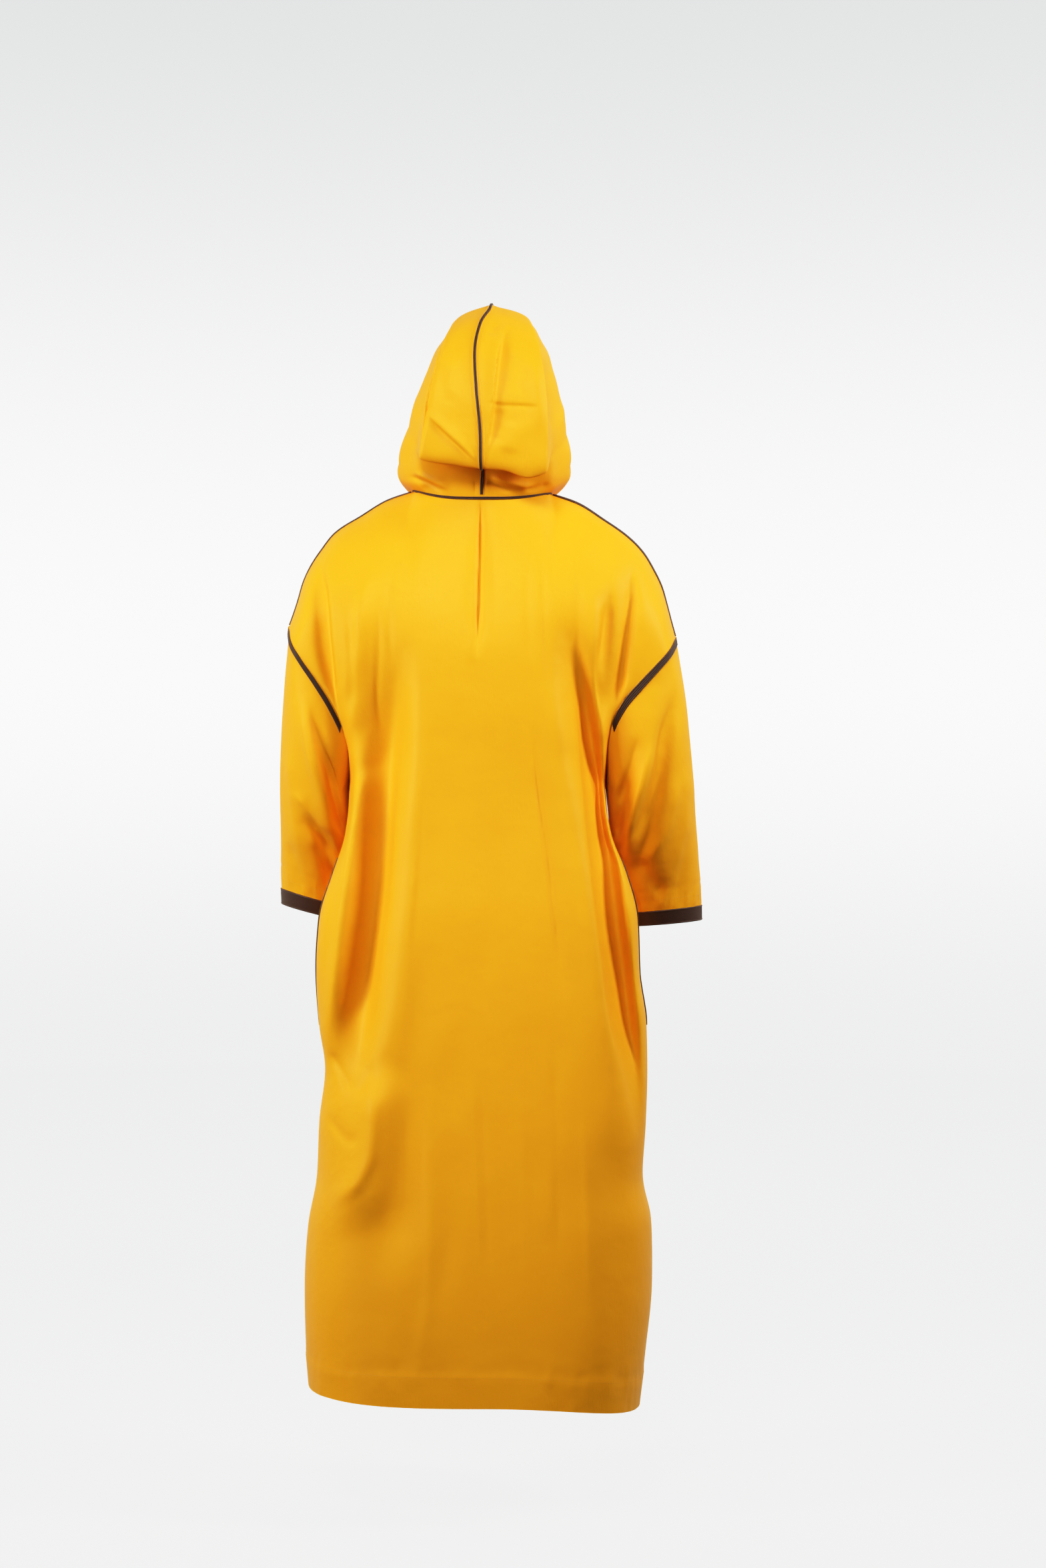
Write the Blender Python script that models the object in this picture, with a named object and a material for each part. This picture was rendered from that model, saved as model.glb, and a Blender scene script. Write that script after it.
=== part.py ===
"""A djellaba: a long hooded robe of plain crepe, with dark braid and cord on its seams.

It stands open as it is worn: hung from the shoulders, sleeves down, the hood up
and its peak folded down behind. Each cut piece of cloth is one wall of its own.

Metres, +Z up. The back faces +Y and the wearer's left is +X. The origin lies on
the neck's axis, level with the middle of the back neck seam.

Names used below:
    level   how far down the robe: 0 at the shoulders, 7 at the underarm, 20 at the hem
    share   how far across a panel: -1 at its right edge, 0 in the middle, 1 at its left
    turn    once round a sleeve: 0 outside, 0.25 behind, 0.5 inside, 0.75 in front
    run     how far along a piece: 0 at its seam with the robe, 1 at its free edge
"""
import math
from dataclasses import dataclass, field

import bmesh
import bpy
import numpy as np

# Thickness of the cloth and trims, and the clearances between them
CLOTH_THICK = 0.002
BRAID_THICK = 0.0014
PIPING_THICK = 0.0018
SEAM_GAP = 0.0003
TRIM_LIFT = 0.0005

# Widths of the trims
PIPING_WIDTH = 0.0046
SHOULDER_BRAID_WIDTH = 0.0054
ARMHOLE_BRAID_WIDTH = 0.0105
CUFF_BRAID_WIDTH = 0.018
TRIM_END_GAP = 0.0015
ARMHOLE_BRAID_INSET = 0.0008
ARMHOLE_BRAID_OPEN_FACES = 3
NECK_PIPING_LIFT = 0.0009
SHOULDER_BRAID_NECK_GAP = 0.006

# Neck opening
NECK_SHARE = 0.353
NECK_BACK_DEPTH = 0.085
NECK_FRONT_DEPTH = 0.092
NECK_CORNER_Z = (0.018, 0.014)
SHOULDER_SEAM_BACK = (0.0, 0.020)
FRONT_SLIT_LEVELS = 5.6
FRONT_SLIT_WIDTH = (0.0070, 0.0030)

# Pocket slits in the side seams
SLIT_TOP_LEVEL = 9.6
SLIT_GAPE = 0.011

# Number of faces in each direction
NECK_STEPS = (0.34, 0.62, 0.82, 0.94, 1.0)
SIDE_FACES = 11
ARMHOLE_FACES = 10
SKIRT_FACES = 15
UNDERARM_LEVEL = 7.0
HEM_LEVEL = 20.0
SLIT_FACES = 4
COLUMN_FAN = 0.4
COLUMN_FAN_LEVELS = 1.4

LEFT, RIGHT = 1, -1


def table(columns, *rows):
    """A table as a dictionary: one array of numbers for each named column."""
    return dict(zip(columns.split(), np.array(rows, dtype=float).T))


# One row for each level of the robe: its middle behind and in front, its edges at left and right
LEVELS = table(
    "level back_z front_z  back_y front_y left_x left_z right_x right_z",
    (0,    0.000, -0.055,  0.085, -0.092, 0.297, -0.189, 0.298, -0.206),
    (1,   -0.040, -0.088,  0.098, -0.105, 0.291, -0.213, 0.286, -0.228),
    (2,   -0.085, -0.125,  0.112, -0.118, 0.274, -0.243, 0.264, -0.253),
    (3,   -0.135, -0.168,  0.125, -0.130, 0.253, -0.273, 0.240, -0.278),
    (4,   -0.190, -0.215,  0.134, -0.138, 0.231, -0.308, 0.216, -0.306),
    (5,   -0.250, -0.268,  0.138, -0.142, 0.213, -0.348, 0.198, -0.345),
    (6,   -0.315, -0.325,  0.138, -0.144, 0.203, -0.390, 0.191, -0.390),
    (7,   -0.375, -0.380,  0.136, -0.146, 0.201, -0.428, 0.189, -0.432),
    (8,   -0.440, -0.442,  0.135, -0.148, 0.202, -0.462, 0.190, -0.466),
    (9,   -0.505, -0.505,  0.137, -0.150, 0.208, -0.510, 0.197, -0.512),
    (10,  -0.570, -0.570,  0.142, -0.152, 0.227, -0.571, 0.221, -0.571),
    (11,  -0.640, -0.640,  0.148, -0.154, 0.248, -0.640, 0.238, -0.640),
    (12,  -0.720, -0.720,  0.152, -0.156, 0.253, -0.720, 0.241, -0.720),
    (13,  -0.800, -0.800,  0.156, -0.160, 0.249, -0.800, 0.252, -0.800),
    (14,  -0.870, -0.870,  0.160, -0.164, 0.240, -0.870, 0.253, -0.870),
    (15,  -0.950, -0.950,  0.166, -0.169, 0.249, -0.950, 0.251, -0.950),
    (16,  -1.030, -1.030,  0.172, -0.175, 0.253, -1.030, 0.246, -1.030),
    (17,  -1.110, -1.110,  0.178, -0.181, 0.267, -1.110, 0.261, -1.110),
    (18,  -1.200, -1.200,  0.186, -0.187, 0.273, -1.200, 0.262, -1.200),
    (19,  -1.290, -1.290,  0.194, -0.194, 0.271, -1.288, 0.253, -1.298),
    (20,  -1.360, -1.360,  0.200, -0.200, 0.266, -1.353, 0.242, -1.385),
)
EDGE_X = (LEVELS["left_x"][0], LEVELS["right_x"][0])

# Depth of the panels' edges: each on its own round the armhole, then together on the side seam
ARMHOLE_EDGE = table(
    "level back_y front_y",
    (0,  0.060, -0.050),
    (1,  0.075, -0.062),
    (2,  0.084, -0.072),
    (3,  0.086, -0.076),
    (4,  0.082, -0.073),
    (5,  0.072, -0.054),
    (6,  0.056, -0.018),
    (7,  0.026,  0.026),
)
SIDE_SEAM = table(
    "level y",
    (7,   0.026),
    (8,   0.046),
    (9,   0.055),
    (10,  0.054),
    (11,  0.044),
    (13,  0.025),
    (15,  0.010),
    (17,  0.000),
    (20,  0.000),
)

# The line of the shoulders, from the neck's corner to the top of the armhole
SHOULDER = table(
    "share  left_z  right_z",
    (0.353,  0.018,  0.014),
    (0.490,  0.004, -0.001),
    (0.630, -0.021, -0.028),
    (0.765, -0.047, -0.057),
    (0.835, -0.073, -0.079),
    (0.892, -0.099, -0.107),
    (0.930, -0.124, -0.131),
    (0.955, -0.150, -0.157),
    (0.978, -0.171, -0.183),
    (1.000, -0.189, -0.206),
)

# Folds that hang down the panels: the line of each by three points, its reach to
# either side, and how far it stands out (a furrow is below zero)
FOLD_COLUMNS = "top_x top_z middle_x low_x low_z to_left to_right height"
BACK_FOLDS = table(
    FOLD_COLUMNS,
    # left: long furrow, the ridge inside it and the one outside it
    (0.122, -0.20, 0.153, 0.204, -0.92, 0.026, 0.028, -0.020),
    (0.088, -0.30, 0.102, 0.158, -0.98, 0.024, 0.022, 0.005),
    (0.184, -0.34, 0.205, 0.240, -0.87, 0.018, 0.022, 0.010),
    # left: a short furrow and a ridge under the shoulder
    (0.249, -0.10, 0.242, 0.226, -0.31, 0.010, 0.012, -0.008),
    (0.176, -0.12, 0.190, 0.205, -0.40, 0.012, 0.014, 0.006),
    # left, low: the cloth pulled to the knee
    (0.150, -0.84, 0.163, 0.224, -1.13, 0.038, 0.028, 0.012),
    (0.112, -0.84, 0.116, 0.140, -1.18, 0.030, 0.034, -0.009),
    # right: long ridge, the deep furrow outside it, the ridge outside that
    (-0.088, -0.14, -0.136, -0.218, -1.04, 0.026, 0.018, 0.007),
    (-0.118, -0.16, -0.167, -0.233, -1.00, 0.024, 0.030, -0.022),
    (-0.182, -0.36, -0.216, -0.248, -0.88, 0.016, 0.018, 0.005),
    (-0.160, -0.13, -0.180, -0.200, -0.50, 0.010, 0.012, 0.007),
    # right: furrows from the shoulder to the underarm
    (-0.222, -0.10, -0.211, -0.192, -0.35, 0.010, 0.012, -0.010),
    (-0.196, -0.13, -0.186, -0.180, -0.36, 0.012, 0.010, -0.009),
    # middle: the short pressed furrow under the neck
    (0.004, -0.02, 0.005, 0.007, -0.24, 0.012, 0.012, -0.004),
)
FRONT_FOLDS = table(
    FOLD_COLUMNS,
    (0.150, -0.20, 0.160, 0.196, -0.90, 0.022, 0.026, -0.014),
    (0.105, -0.28, 0.120, 0.150, -1.05, 0.026, 0.026, 0.009),
    (0.050, -0.55, 0.062, 0.090, -1.30, 0.030, 0.030, -0.008),
    (0.230, -0.11, 0.222, 0.206, -0.33, 0.011, 0.013, -0.008),
    (-0.100, -0.24, -0.122, -0.160, -1.02, 0.024, 0.022, 0.010),
    (-0.142, -0.21, -0.160, -0.206, -0.86, 0.020, 0.024, -0.014),
    (-0.040, -0.48, -0.052, -0.074, -1.25, 0.028, 0.028, -0.008),
    (-0.215, -0.12, -0.206, -0.188, -0.34, 0.011, 0.012, -0.009),
)

# One row for each section of a sleeve: its outer and inner points, its middle and half depth
SLEEVE_COLUMNS = "run outer_x outer_z inner_x inner_z middle_y half_y"
SLEEVES = {
    LEFT: table(
        SLEEVE_COLUMNS,
        (0.00, 0.2970, -0.189, 0.201, -0.428, 0.012, 0.080),
        (0.25, 0.3050, -0.280, 0.203, -0.462, 0.010, 0.078),
        (0.50, 0.3100, -0.380, 0.203, -0.505, -0.006, 0.073),
        (0.72, 0.3145, -0.480, 0.206, -0.550, -0.036, 0.067),
        (0.90, 0.3160, -0.575, 0.213, -0.608, -0.074, 0.060),
        (1.00, 0.3155, -0.622, 0.215, -0.648, -0.090, 0.057),
    ),
    RIGHT: table(
        SLEEVE_COLUMNS,
        (0.00, 0.2980, -0.206, 0.189, -0.432, 0.012, 0.080),
        (0.25, 0.3132, -0.305, 0.193, -0.468, 0.010, 0.078),
        (0.50, 0.3240, -0.410, 0.197, -0.512, -0.006, 0.073),
        (0.72, 0.3335, -0.510, 0.206, -0.560, -0.036, 0.067),
        (0.90, 0.3415, -0.602, 0.218, -0.618, -0.070, 0.060),
        (1.00, 0.3430, -0.647, 0.223, -0.657, -0.084, 0.057),
    ),
}
SLEEVE_RUNS = (0.11, 0.2, 0.3, 0.4, 0.5, 0.6, 0.7, 0.79, 0.88)
SLEEVE_BLEND = 0.4

# Folds in the sleeves: the line of each by its ends, its reach and its height
SLEEVE_FOLD_COLUMNS = "top_turn top_run low_turn low_run reach height"
SLEEVE_FOLDS = {
    LEFT: table(
        SLEEVE_FOLD_COLUMNS,
        (0.30, 0.20, 0.42, 0.62, 0.045, -0.010),
        (0.20, 0.10, 0.34, 0.75, 0.040, 0.006),
        (0.22, 0.55, 0.40, 0.92, 0.040, -0.008),
        (0.66, 0.15, 0.80, 0.80, 0.050, -0.009),
    ),
    RIGHT: table(
        SLEEVE_FOLD_COLUMNS,
        (0.10, 0.12, 0.36, 0.85, 0.045, -0.011),
        (0.24, 0.25, 0.40, 0.80, 0.040, 0.007),
        (0.35, 0.20, 0.44, 0.60, 0.040, -0.008),
        (0.68, 0.15, 0.78, 0.80, 0.050, -0.009),
    ),
}

# The hood, from the neck seam to the face edge. Each table is one line over it, from the
# back to the front: along the centre seam, the folded peak's side edge, the hollow beside
# it, the side of the head, the cheek and the throat.
HOOD_CENTRE = table(
    "run    y       z",
    (0.00,  0.085,  0.000),
    (0.05,  0.090,  0.028),
    (0.10,  0.095,  0.055),
    (0.15,  0.103,  0.072),
    (0.20,  0.113,  0.064),
    (0.24,  0.121,  0.049),
    (0.28,  0.130,  0.0385),
    (0.33,  0.138,  0.050),
    (0.40,  0.142,  0.085),
    (0.50,  0.143,  0.130),
    (0.60,  0.137,  0.175),
    (0.68,  0.124,  0.215),
    (0.76,  0.098,  0.255),
    (0.84,  0.058,  0.288),
    (0.90,  0.018,  0.304),
    (0.95, -0.036,  0.302),
    (1.00, -0.085,  0.283),
)
# The peak's edge, measured from the centre line: its half width, how far it lies
# forward of that line, and how much higher
HOOD_PEAK_EDGE = table(
    "run    x       forward  rise",
    (0.00,  0.0735, 0.027,  0.008),
    (0.15,  0.0790, 0.009, -0.006),
    (0.23,  0.0860, 0.009,  0.001),
    (0.28,  0.0965, 0.009,  0.007),
    (0.50,  0.0930, 0.016,  0.000),
    (0.68,  0.0790, 0.018, -0.004),
    (0.84,  0.0580, 0.012, -0.014),
    (0.92,  0.0450, 0.004, -0.017),
    (1.00,  0.0450, 0.000, -0.012),
)
HOOD_LINE_COLUMNS = "run x y z"
HOOD_HOLLOW = table(
    HOOD_LINE_COLUMNS,
    (0.00, 0.0880, 0.046, 0.013),
    (0.05, 0.1010, 0.050, 0.026),
    (0.10, 0.1040, 0.054, 0.040),
    (0.28, 0.1040, 0.060, 0.080),
    (0.50, 0.0900, 0.068, 0.145),
    (0.68, 0.0770, 0.066, 0.208),
    (0.84, 0.0640, 0.034, 0.262),
    (0.92, 0.0660, -0.012, 0.270),
    (1.00, 0.0660, -0.088, 0.256),
)
HOOD_SIDE = table(
    HOOD_LINE_COLUMNS,
    (0.00, 0.1050, 0.000, 0.018),
    (0.06, 0.1290, 0.000, 0.034),
    (0.14, 0.1365, 0.000, 0.056),
    (0.34, 0.1265, 0.000, 0.107),
    (0.53, 0.1130, -0.004, 0.159),
    (0.70, 0.0970, -0.013, 0.210),
    (0.86, 0.0860, -0.040, 0.238),
    (1.00, 0.0800, -0.089, 0.222),
)
HOOD_CHEEK = table(
    HOOD_LINE_COLUMNS,
    (0.00, 0.0450, -0.083, -0.036),
    (0.30, 0.0800, -0.079, 0.012),
    (0.60, 0.0980, -0.071, 0.060),
    (0.85, 0.0985, -0.075, 0.103),
    (1.00, 0.0950, -0.091, 0.128),
)
HOOD_THROAT = table(
    HOOD_LINE_COLUMNS,
    (0.00, 0.0040, -0.093, -0.055),
    (0.50, 0.0160, -0.101, -0.026),
    (1.00, 0.0350, -0.104, 0.010),
)
# Where those lines lie across one half of the hood, counted in faces from the centre seam
HOOD_STATIONS = (0.0, 6.0, 9.0, 10.5, 13.0, 15.0)
HOOD_FACES = 15
# How many faces from the centre seam the hood meets each of the panels' neck points
HOOD_BACK_MEETS = (0, 3, 6, 8, 9, 10)
HOOD_FRONT_MEETS = (11, 12, 13, 14, 15)
HOOD_RUNS = (
    0.0, 0.05, 0.10, 0.15, 0.20, 0.24, 0.28, 0.33, 0.38, 0.44, 0.50,
    0.56, 0.62, 0.68, 0.73, 0.78, 0.83, 0.88, 0.92, 0.96, 1.0,
)
# The hood leans to the right as it rises, and its seam wanders from the middle of the peak
HOOD_LEAN = -0.060
HOOD_SEAM = table(
    "run   x",
    (0.28, 0.002),
    (0.42, 0.007),
    (0.57, 0.017),
    (0.70, 0.023),
    (0.78, 0.018),
    (0.86, 0.005),
    (1.00, 0.000),
)
PEAK_EDGE_RUN = 0.28
PEAK_TILT = 0.094
PEAK_TILT_REACH = 0.09
PEAK_DROOP = -0.010
PEAK_DROOP_X = -0.070
PEAK_DROOP_REACH = 0.022


# Reading the tables
def step(start, end, value):
    """A soft step: 0 at start, 1 at end."""
    part = np.clip((value - start) / (end - start), 0.0, 1.0)
    return part * part * (3.0 - 2.0 * part)


def smooth(knots, values, place):
    """Read the smooth curve through (knot, value) at each place, with no swing past a knot."""
    knots = np.asarray(knots, dtype=float)
    values = np.asarray(values, dtype=float)
    place = np.clip(place, knots[0], knots[-1])
    spans = np.diff(knots)
    rises = np.diff(values) / spans
    slopes = np.concatenate([rises[:1], np.zeros(len(knots) - 2), rises[-1:]])
    steady = np.flatnonzero(rises[:-1] * rises[1:] > 0)
    before, after = rises[steady], rises[steady + 1]
    weight_before = 2.0 * spans[steady + 1] + spans[steady]
    weight_after = spans[steady + 1] + 2.0 * spans[steady]
    slopes[steady + 1] = (weight_before + weight_after) / (weight_before / before + weight_after / after)
    first = np.clip(np.searchsorted(knots, place, side="right") - 1, 0, len(knots) - 2)
    span = spans[first]
    part = (place - knots[first]) / span
    rest = 1.0 - part
    ends = values[first] * (1.0 + 2.0 * part) * rest**2 + values[first + 1] * (1.0 + 2.0 * rest) * part**2
    tangents = slopes[first] * rest - slopes[first + 1] * part
    return ends + tangents * span * part * rest


def unit(vectors):
    """The vectors at length one."""
    return vectors / np.maximum(np.linalg.norm(vectors, axis=-1, keepdims=True), 1e-12)


# The body of the robe
def shoulder_line(face, share):
    """Depth and height of a panel's top edge: the neckline, then the shoulder seam."""
    left = share >= 0
    across = np.abs(share)
    neck = np.clip(across / NECK_SHARE, 0.0, 1.0)
    outer = np.clip((across - NECK_SHARE) / (1.0 - NECK_SHARE), 0.0, 1.0)
    seam_z = np.where(
        left,
        smooth(SHOULDER["share"], SHOULDER["left_z"], across),
        smooth(SHOULDER["share"], SHOULDER["right_z"], across),
    )
    seam_y = np.where(left, *SHOULDER_SEAM_BACK) * np.sin(math.pi * outer)
    corner_z = np.where(left, *NECK_CORNER_Z)
    middle_z = LEVELS[face + "_z"][0]
    bend = 3.0 if face == "back" else 2.2
    neck_z = middle_z + (corner_z - middle_z) * neck**bend
    neck_depth = NECK_BACK_DEPTH if face == "back" else -NECK_FRONT_DEPTH
    neck_y = neck_depth * np.sqrt(np.maximum(1.0 - neck**2, 0.0))
    on_neck = across < NECK_SHARE
    return np.where(on_neck, neck_y, seam_y), np.where(on_neck, neck_z, seam_z)


def fold_depth(folds, x, z):
    """How far the folds of a panel stand out at (x, z)."""
    depth = np.zeros_like(x)
    for number in range(len(folds["height"])):
        fold = {name: column[number] for name, column in folds.items()}
        part = (fold["top_z"] - z) / (fold["top_z"] - fold["low_z"])
        inside = np.clip(part, 0.0, 1.0)
        ends = step(0.0, 0.25, part) * step(1.0, 0.7, part)
        middle = 4.0 * inside * (1.0 - inside)
        chord = fold["top_x"] + (fold["low_x"] - fold["top_x"]) * inside
        line_x = chord + middle * (fold["middle_x"] - 0.5 * (fold["top_x"] + fold["low_x"]))
        reach = np.where(x > line_x, fold["to_left"], fold["to_right"])
        depth += fold["height"] * ends * np.exp(-(((x - line_x) / reach) ** 2))
    return depth


def body(face, share, level):
    """Points of the back or the front panel."""
    share, level = np.broadcast_arrays(np.asarray(share, dtype=float), np.asarray(level, dtype=float))
    back = face == "back"
    left = share >= 0
    across = np.abs(share)

    def read(column):
        return smooth(LEVELS["level"], LEVELS[column], level)

    edge_x = np.where(left, read("left_x"), read("right_x"))
    edge_z = np.where(left, read("left_z"), read("right_z"))
    middle_y, middle_z = read(face + "_y"), read(face + "_z")
    down_slit = (level - SLIT_TOP_LEVEL) / (slit_low_level() - SLIT_TOP_LEVEL)
    gape = np.sin(math.pi * np.clip(down_slit, 0.0, 1.0))
    edge_y = np.where(
        level < UNDERARM_LEVEL,
        smooth(ARMHOLE_EDGE["level"], ARMHOLE_EDGE[face + "_y"], level),
        smooth(SIDE_SEAM["level"], SIDE_SEAM["y"], level) + (SLIT_GAPE if back else -SLIT_GAPE) * gape,
    )
    x = share * edge_x

    # height: the top keeps the shoulders' line, lower levels hang in a soft curve
    top_z = shoulder_line(face, share)[1]
    top_edge_z = np.where(left, LEVELS["left_z"][0], LEVELS["right_z"][0])
    top_middle_z = LEVELS[face + "_z"][0]
    like_shoulder = (top_z - top_middle_z) / (top_edge_z - top_middle_z)
    hanging = across**2.3
    sag = like_shoulder + (hanging - like_shoulder) * np.clip(level / 5.0, 0.0, 1.0)
    z = middle_z + (edge_z - middle_z) * sag

    # depth: a rounded section, which closes up to the shoulders' line at the top
    if back:
        roundness = 1.0 + 2.6 * step(4.0, 9.0, level) - 1.2 * step(14.0, 18.0, level)
    else:
        roundness = 1.0 + 0.5 * step(4.0, 8.0, level) + 0.5 * step(11.0, 15.0, level)
    squareness = 3.0 + (0.6 if back else -0.5) * step(4.0, 9.0, level)
    crown = np.maximum(1.0 - across**squareness, 0.0) ** (1.0 / roundness)
    full_y = edge_y + (middle_y - edge_y) * crown
    line_y, line_z = shoulder_line(face, np.clip(x / np.where(left, *EDGE_X), -1.0, 1.0))
    reach = 0.24 + (0.09 - 0.24) * across**2
    drop = np.clip((line_z - z) / reach, 0.0, 1.0)
    closed = np.sqrt(np.maximum(1.0 - (1.0 - drop) ** 2, 0.0))
    y = line_y + (full_y - line_y) * closed

    folds = fold_depth(BACK_FOLDS if back else FRONT_FOLDS, x, z)
    folds *= step(0.0, 0.06, 1.0 - across) * step(0.0, 1.0, level)
    y = y + (folds if back else -folds)
    return np.stack([x, y, z], axis=-1)



def panel_levels():
    """The levels of a panel's rows of points."""
    armhole = np.linspace(0.0, UNDERARM_LEVEL, ARMHOLE_FACES + 1)
    skirt = np.linspace(UNDERARM_LEVEL, HEM_LEVEL, SKIRT_FACES + 1)
    return np.concatenate([armhole, skirt[1:]])


def slit_low_level():
    """The level where a pocket slit ends."""
    return SLIT_TOP_LEVEL + SLIT_FACES * (HEM_LEVEL - UNDERARM_LEVEL) / SKIRT_FACES


def half_shares(levels):
    """The shares of a panel's columns at each level, from beside its middle to its edge.

    They fan out below the shoulders, so that no column runs along the neckline.
    """
    neck = NECK_SHARE * np.array(NECK_STEPS)
    first = math.asin(NECK_SHARE)
    angles = np.linspace(first, math.pi / 2, SIDE_FACES + 1)[1:]
    shares = np.concatenate([neck, np.sin(angles)])
    fan = COLUMN_FAN * step(0.0, COLUMN_FAN_LEVELS, levels)
    return shares + fan[:, None] * shares * (1.0 - shares)


def back_points():
    """The back panel's rows of points, from its right edge to its left."""
    levels = panel_levels()
    half = half_shares(levels)
    shares = np.concatenate([-half[:, ::-1], np.zeros_like(half[:, :1]), half], axis=1)
    return body("back", shares, levels[:, None])


def front_points():
    """The front panel's rows of points. Its two middle columns are the slit's edges."""
    levels = panel_levels()
    half = half_shares(levels)
    open_part = np.clip(1.0 - levels / FRONT_SLIT_LEVELS, 0.0, 1.0)
    width = FRONT_SLIT_WIDTH[1] + (FRONT_SLIT_WIDTH[0] - FRONT_SLIT_WIDTH[1]) * open_part
    slit = (0.5 * width / smooth(LEVELS["level"], LEVELS["left_x"], levels))[:, None]
    shares = np.concatenate([-half[:, ::-1], -slit, slit, half], axis=1)
    return body("front", shares, levels[:, None])


# The sleeves
def armhole(side, turn):
    """Points of an armhole, once round: down the back panel's edge and up the front's."""
    behind = turn <= 0.5
    level = UNDERARM_LEVEL * np.where(behind, 2.0 * turn, 2.0 - 2.0 * turn)
    back = body("back", np.full_like(level, side), level)
    front = body("front", np.full_like(level, side), level)
    return np.where(behind[..., None], back, front)


def sleeve_section(side, turn, run):
    """The plain oval of a sleeve at each run."""
    sections = SLEEVES[side]

    def read(column):
        return smooth(sections["run"], sections[column], run)

    outer = np.stack([side * read("outer_x"), read("middle_y"), read("outer_z")], axis=-1)
    inner = np.stack([side * read("inner_x"), read("middle_y"), read("inner_z")], axis=-1)
    angle = 2.0 * math.pi * turn[..., None]
    depth = np.stack([np.zeros_like(run), read("half_y"), np.zeros_like(run)], axis=-1)
    return 0.5 * (outer + inner) + 0.5 * (outer - inner) * np.cos(angle) + depth * np.sin(angle)


def sleeve(side, turn, run):
    """Points of a sleeve: the armhole's own shape passes into the plain ovals."""
    turn, run = np.broadcast_arrays(np.asarray(turn, dtype=float), np.asarray(run, dtype=float))
    plain = sleeve_section(side, turn, run)
    start = sleeve_section(side, turn, np.zeros_like(run))
    fade = np.clip(1.0 - run / SLEEVE_BLEND, 0.0, 1.0) ** 2
    points = plain + (armhole(side, turn) - start) * fade[..., None]

    outer = sleeve_section(side, np.zeros_like(turn), run)
    inner = sleeve_section(side, np.full_like(turn, 0.5), run)
    out = unit(plain - 0.5 * (outer + inner))
    folds = SLEEVE_FOLDS[side]
    for number in range(len(folds["height"])):
        fold = {name: column[number] for name, column in folds.items()}
        part = (run - fold["top_run"]) / (fold["low_run"] - fold["top_run"])
        line = fold["top_turn"] + (fold["low_turn"] - fold["top_turn"]) * np.clip(part, 0.0, 1.0)
        ends = step(0.0, 0.3, part) * step(1.0, 0.7, part)
        shape = fold["height"] * ends * np.exp(-(((turn - line) / fold["reach"]) ** 2))
        points = points + out * shape[..., None]
    return points


def sleeve_points(side):
    """The rings of points of a sleeve, with a ring at the edge of each of its braids."""
    turns = np.linspace(0.0, 1.0, 2 * ARMHOLE_FACES + 1)
    braid_runs = (ARMHOLE_BRAID_WIDTH / sleeve_length(side), 1.0 - CUFF_BRAID_WIDTH / sleeve_length(side))
    runs = np.array([0.0, braid_runs[0], *SLEEVE_RUNS, braid_runs[1], 1.0])
    return sleeve(side, turns[None, :], runs[:, None])


def sleeve_length(side):
    """The mean length of a sleeve, from its armhole to its cuff."""
    outer = SLEEVES[side]["outer_z"][0] - SLEEVES[side]["outer_z"][-1]
    inner = SLEEVES[side]["inner_z"][0] - SLEEVES[side]["inner_z"][-1]
    return 0.5 * (outer + inner)


# The hood
def neck_seam(side, faces):
    """The neck seam's points on one side, counted in hood faces from the back to the front.

    They lie on the straight stretches between the panels' own points.
    """
    steps = NECK_SHARE * np.array(NECK_STEPS)
    slit = 0.5 * FRONT_SLIT_WIDTH[0] / LEVELS["left_x"][0]
    back = body("back", side * np.array([0.0, *steps]), 0.0)
    front = body("front", side * np.array([*steps[-2::-1], slit]), 0.0)
    return along_neck(np.concatenate([back, front]), faces)


def along_neck(points, faces):
    """Read points given where the hood meets the panels' own, on the straight stretches between."""
    meets = HOOD_BACK_MEETS + HOOD_FRONT_MEETS
    return np.stack([np.interp(faces, meets, points[:, axis]) for axis in range(3)], axis=-1)


def hood_lines(run):
    """The hood's six named lines at each run, for a hood that stands straight: (run, line, xyz)."""
    centre_y = smooth(HOOD_CENTRE["run"], HOOD_CENTRE["y"], run)
    centre_z = smooth(HOOD_CENTRE["run"], HOOD_CENTRE["z"], run)
    edge_knots = HOOD_PEAK_EDGE["run"]
    edge = {name: smooth(edge_knots, HOOD_PEAK_EDGE[name], run) for name in ("x", "forward", "rise")}
    lines = [
        np.stack([np.zeros_like(run), centre_y, centre_z], axis=-1),
        np.stack([edge["x"], centre_y - edge["forward"], centre_z + edge["rise"]], axis=-1),
    ]
    for line in (HOOD_HOLLOW, HOOD_SIDE, HOOD_CHEEK, HOOD_THROAT):
        lines.append(np.stack([smooth(line["run"], line[axis], run) for axis in "xyz"], axis=-1))
    return np.stack(lines, axis=1)


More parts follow.
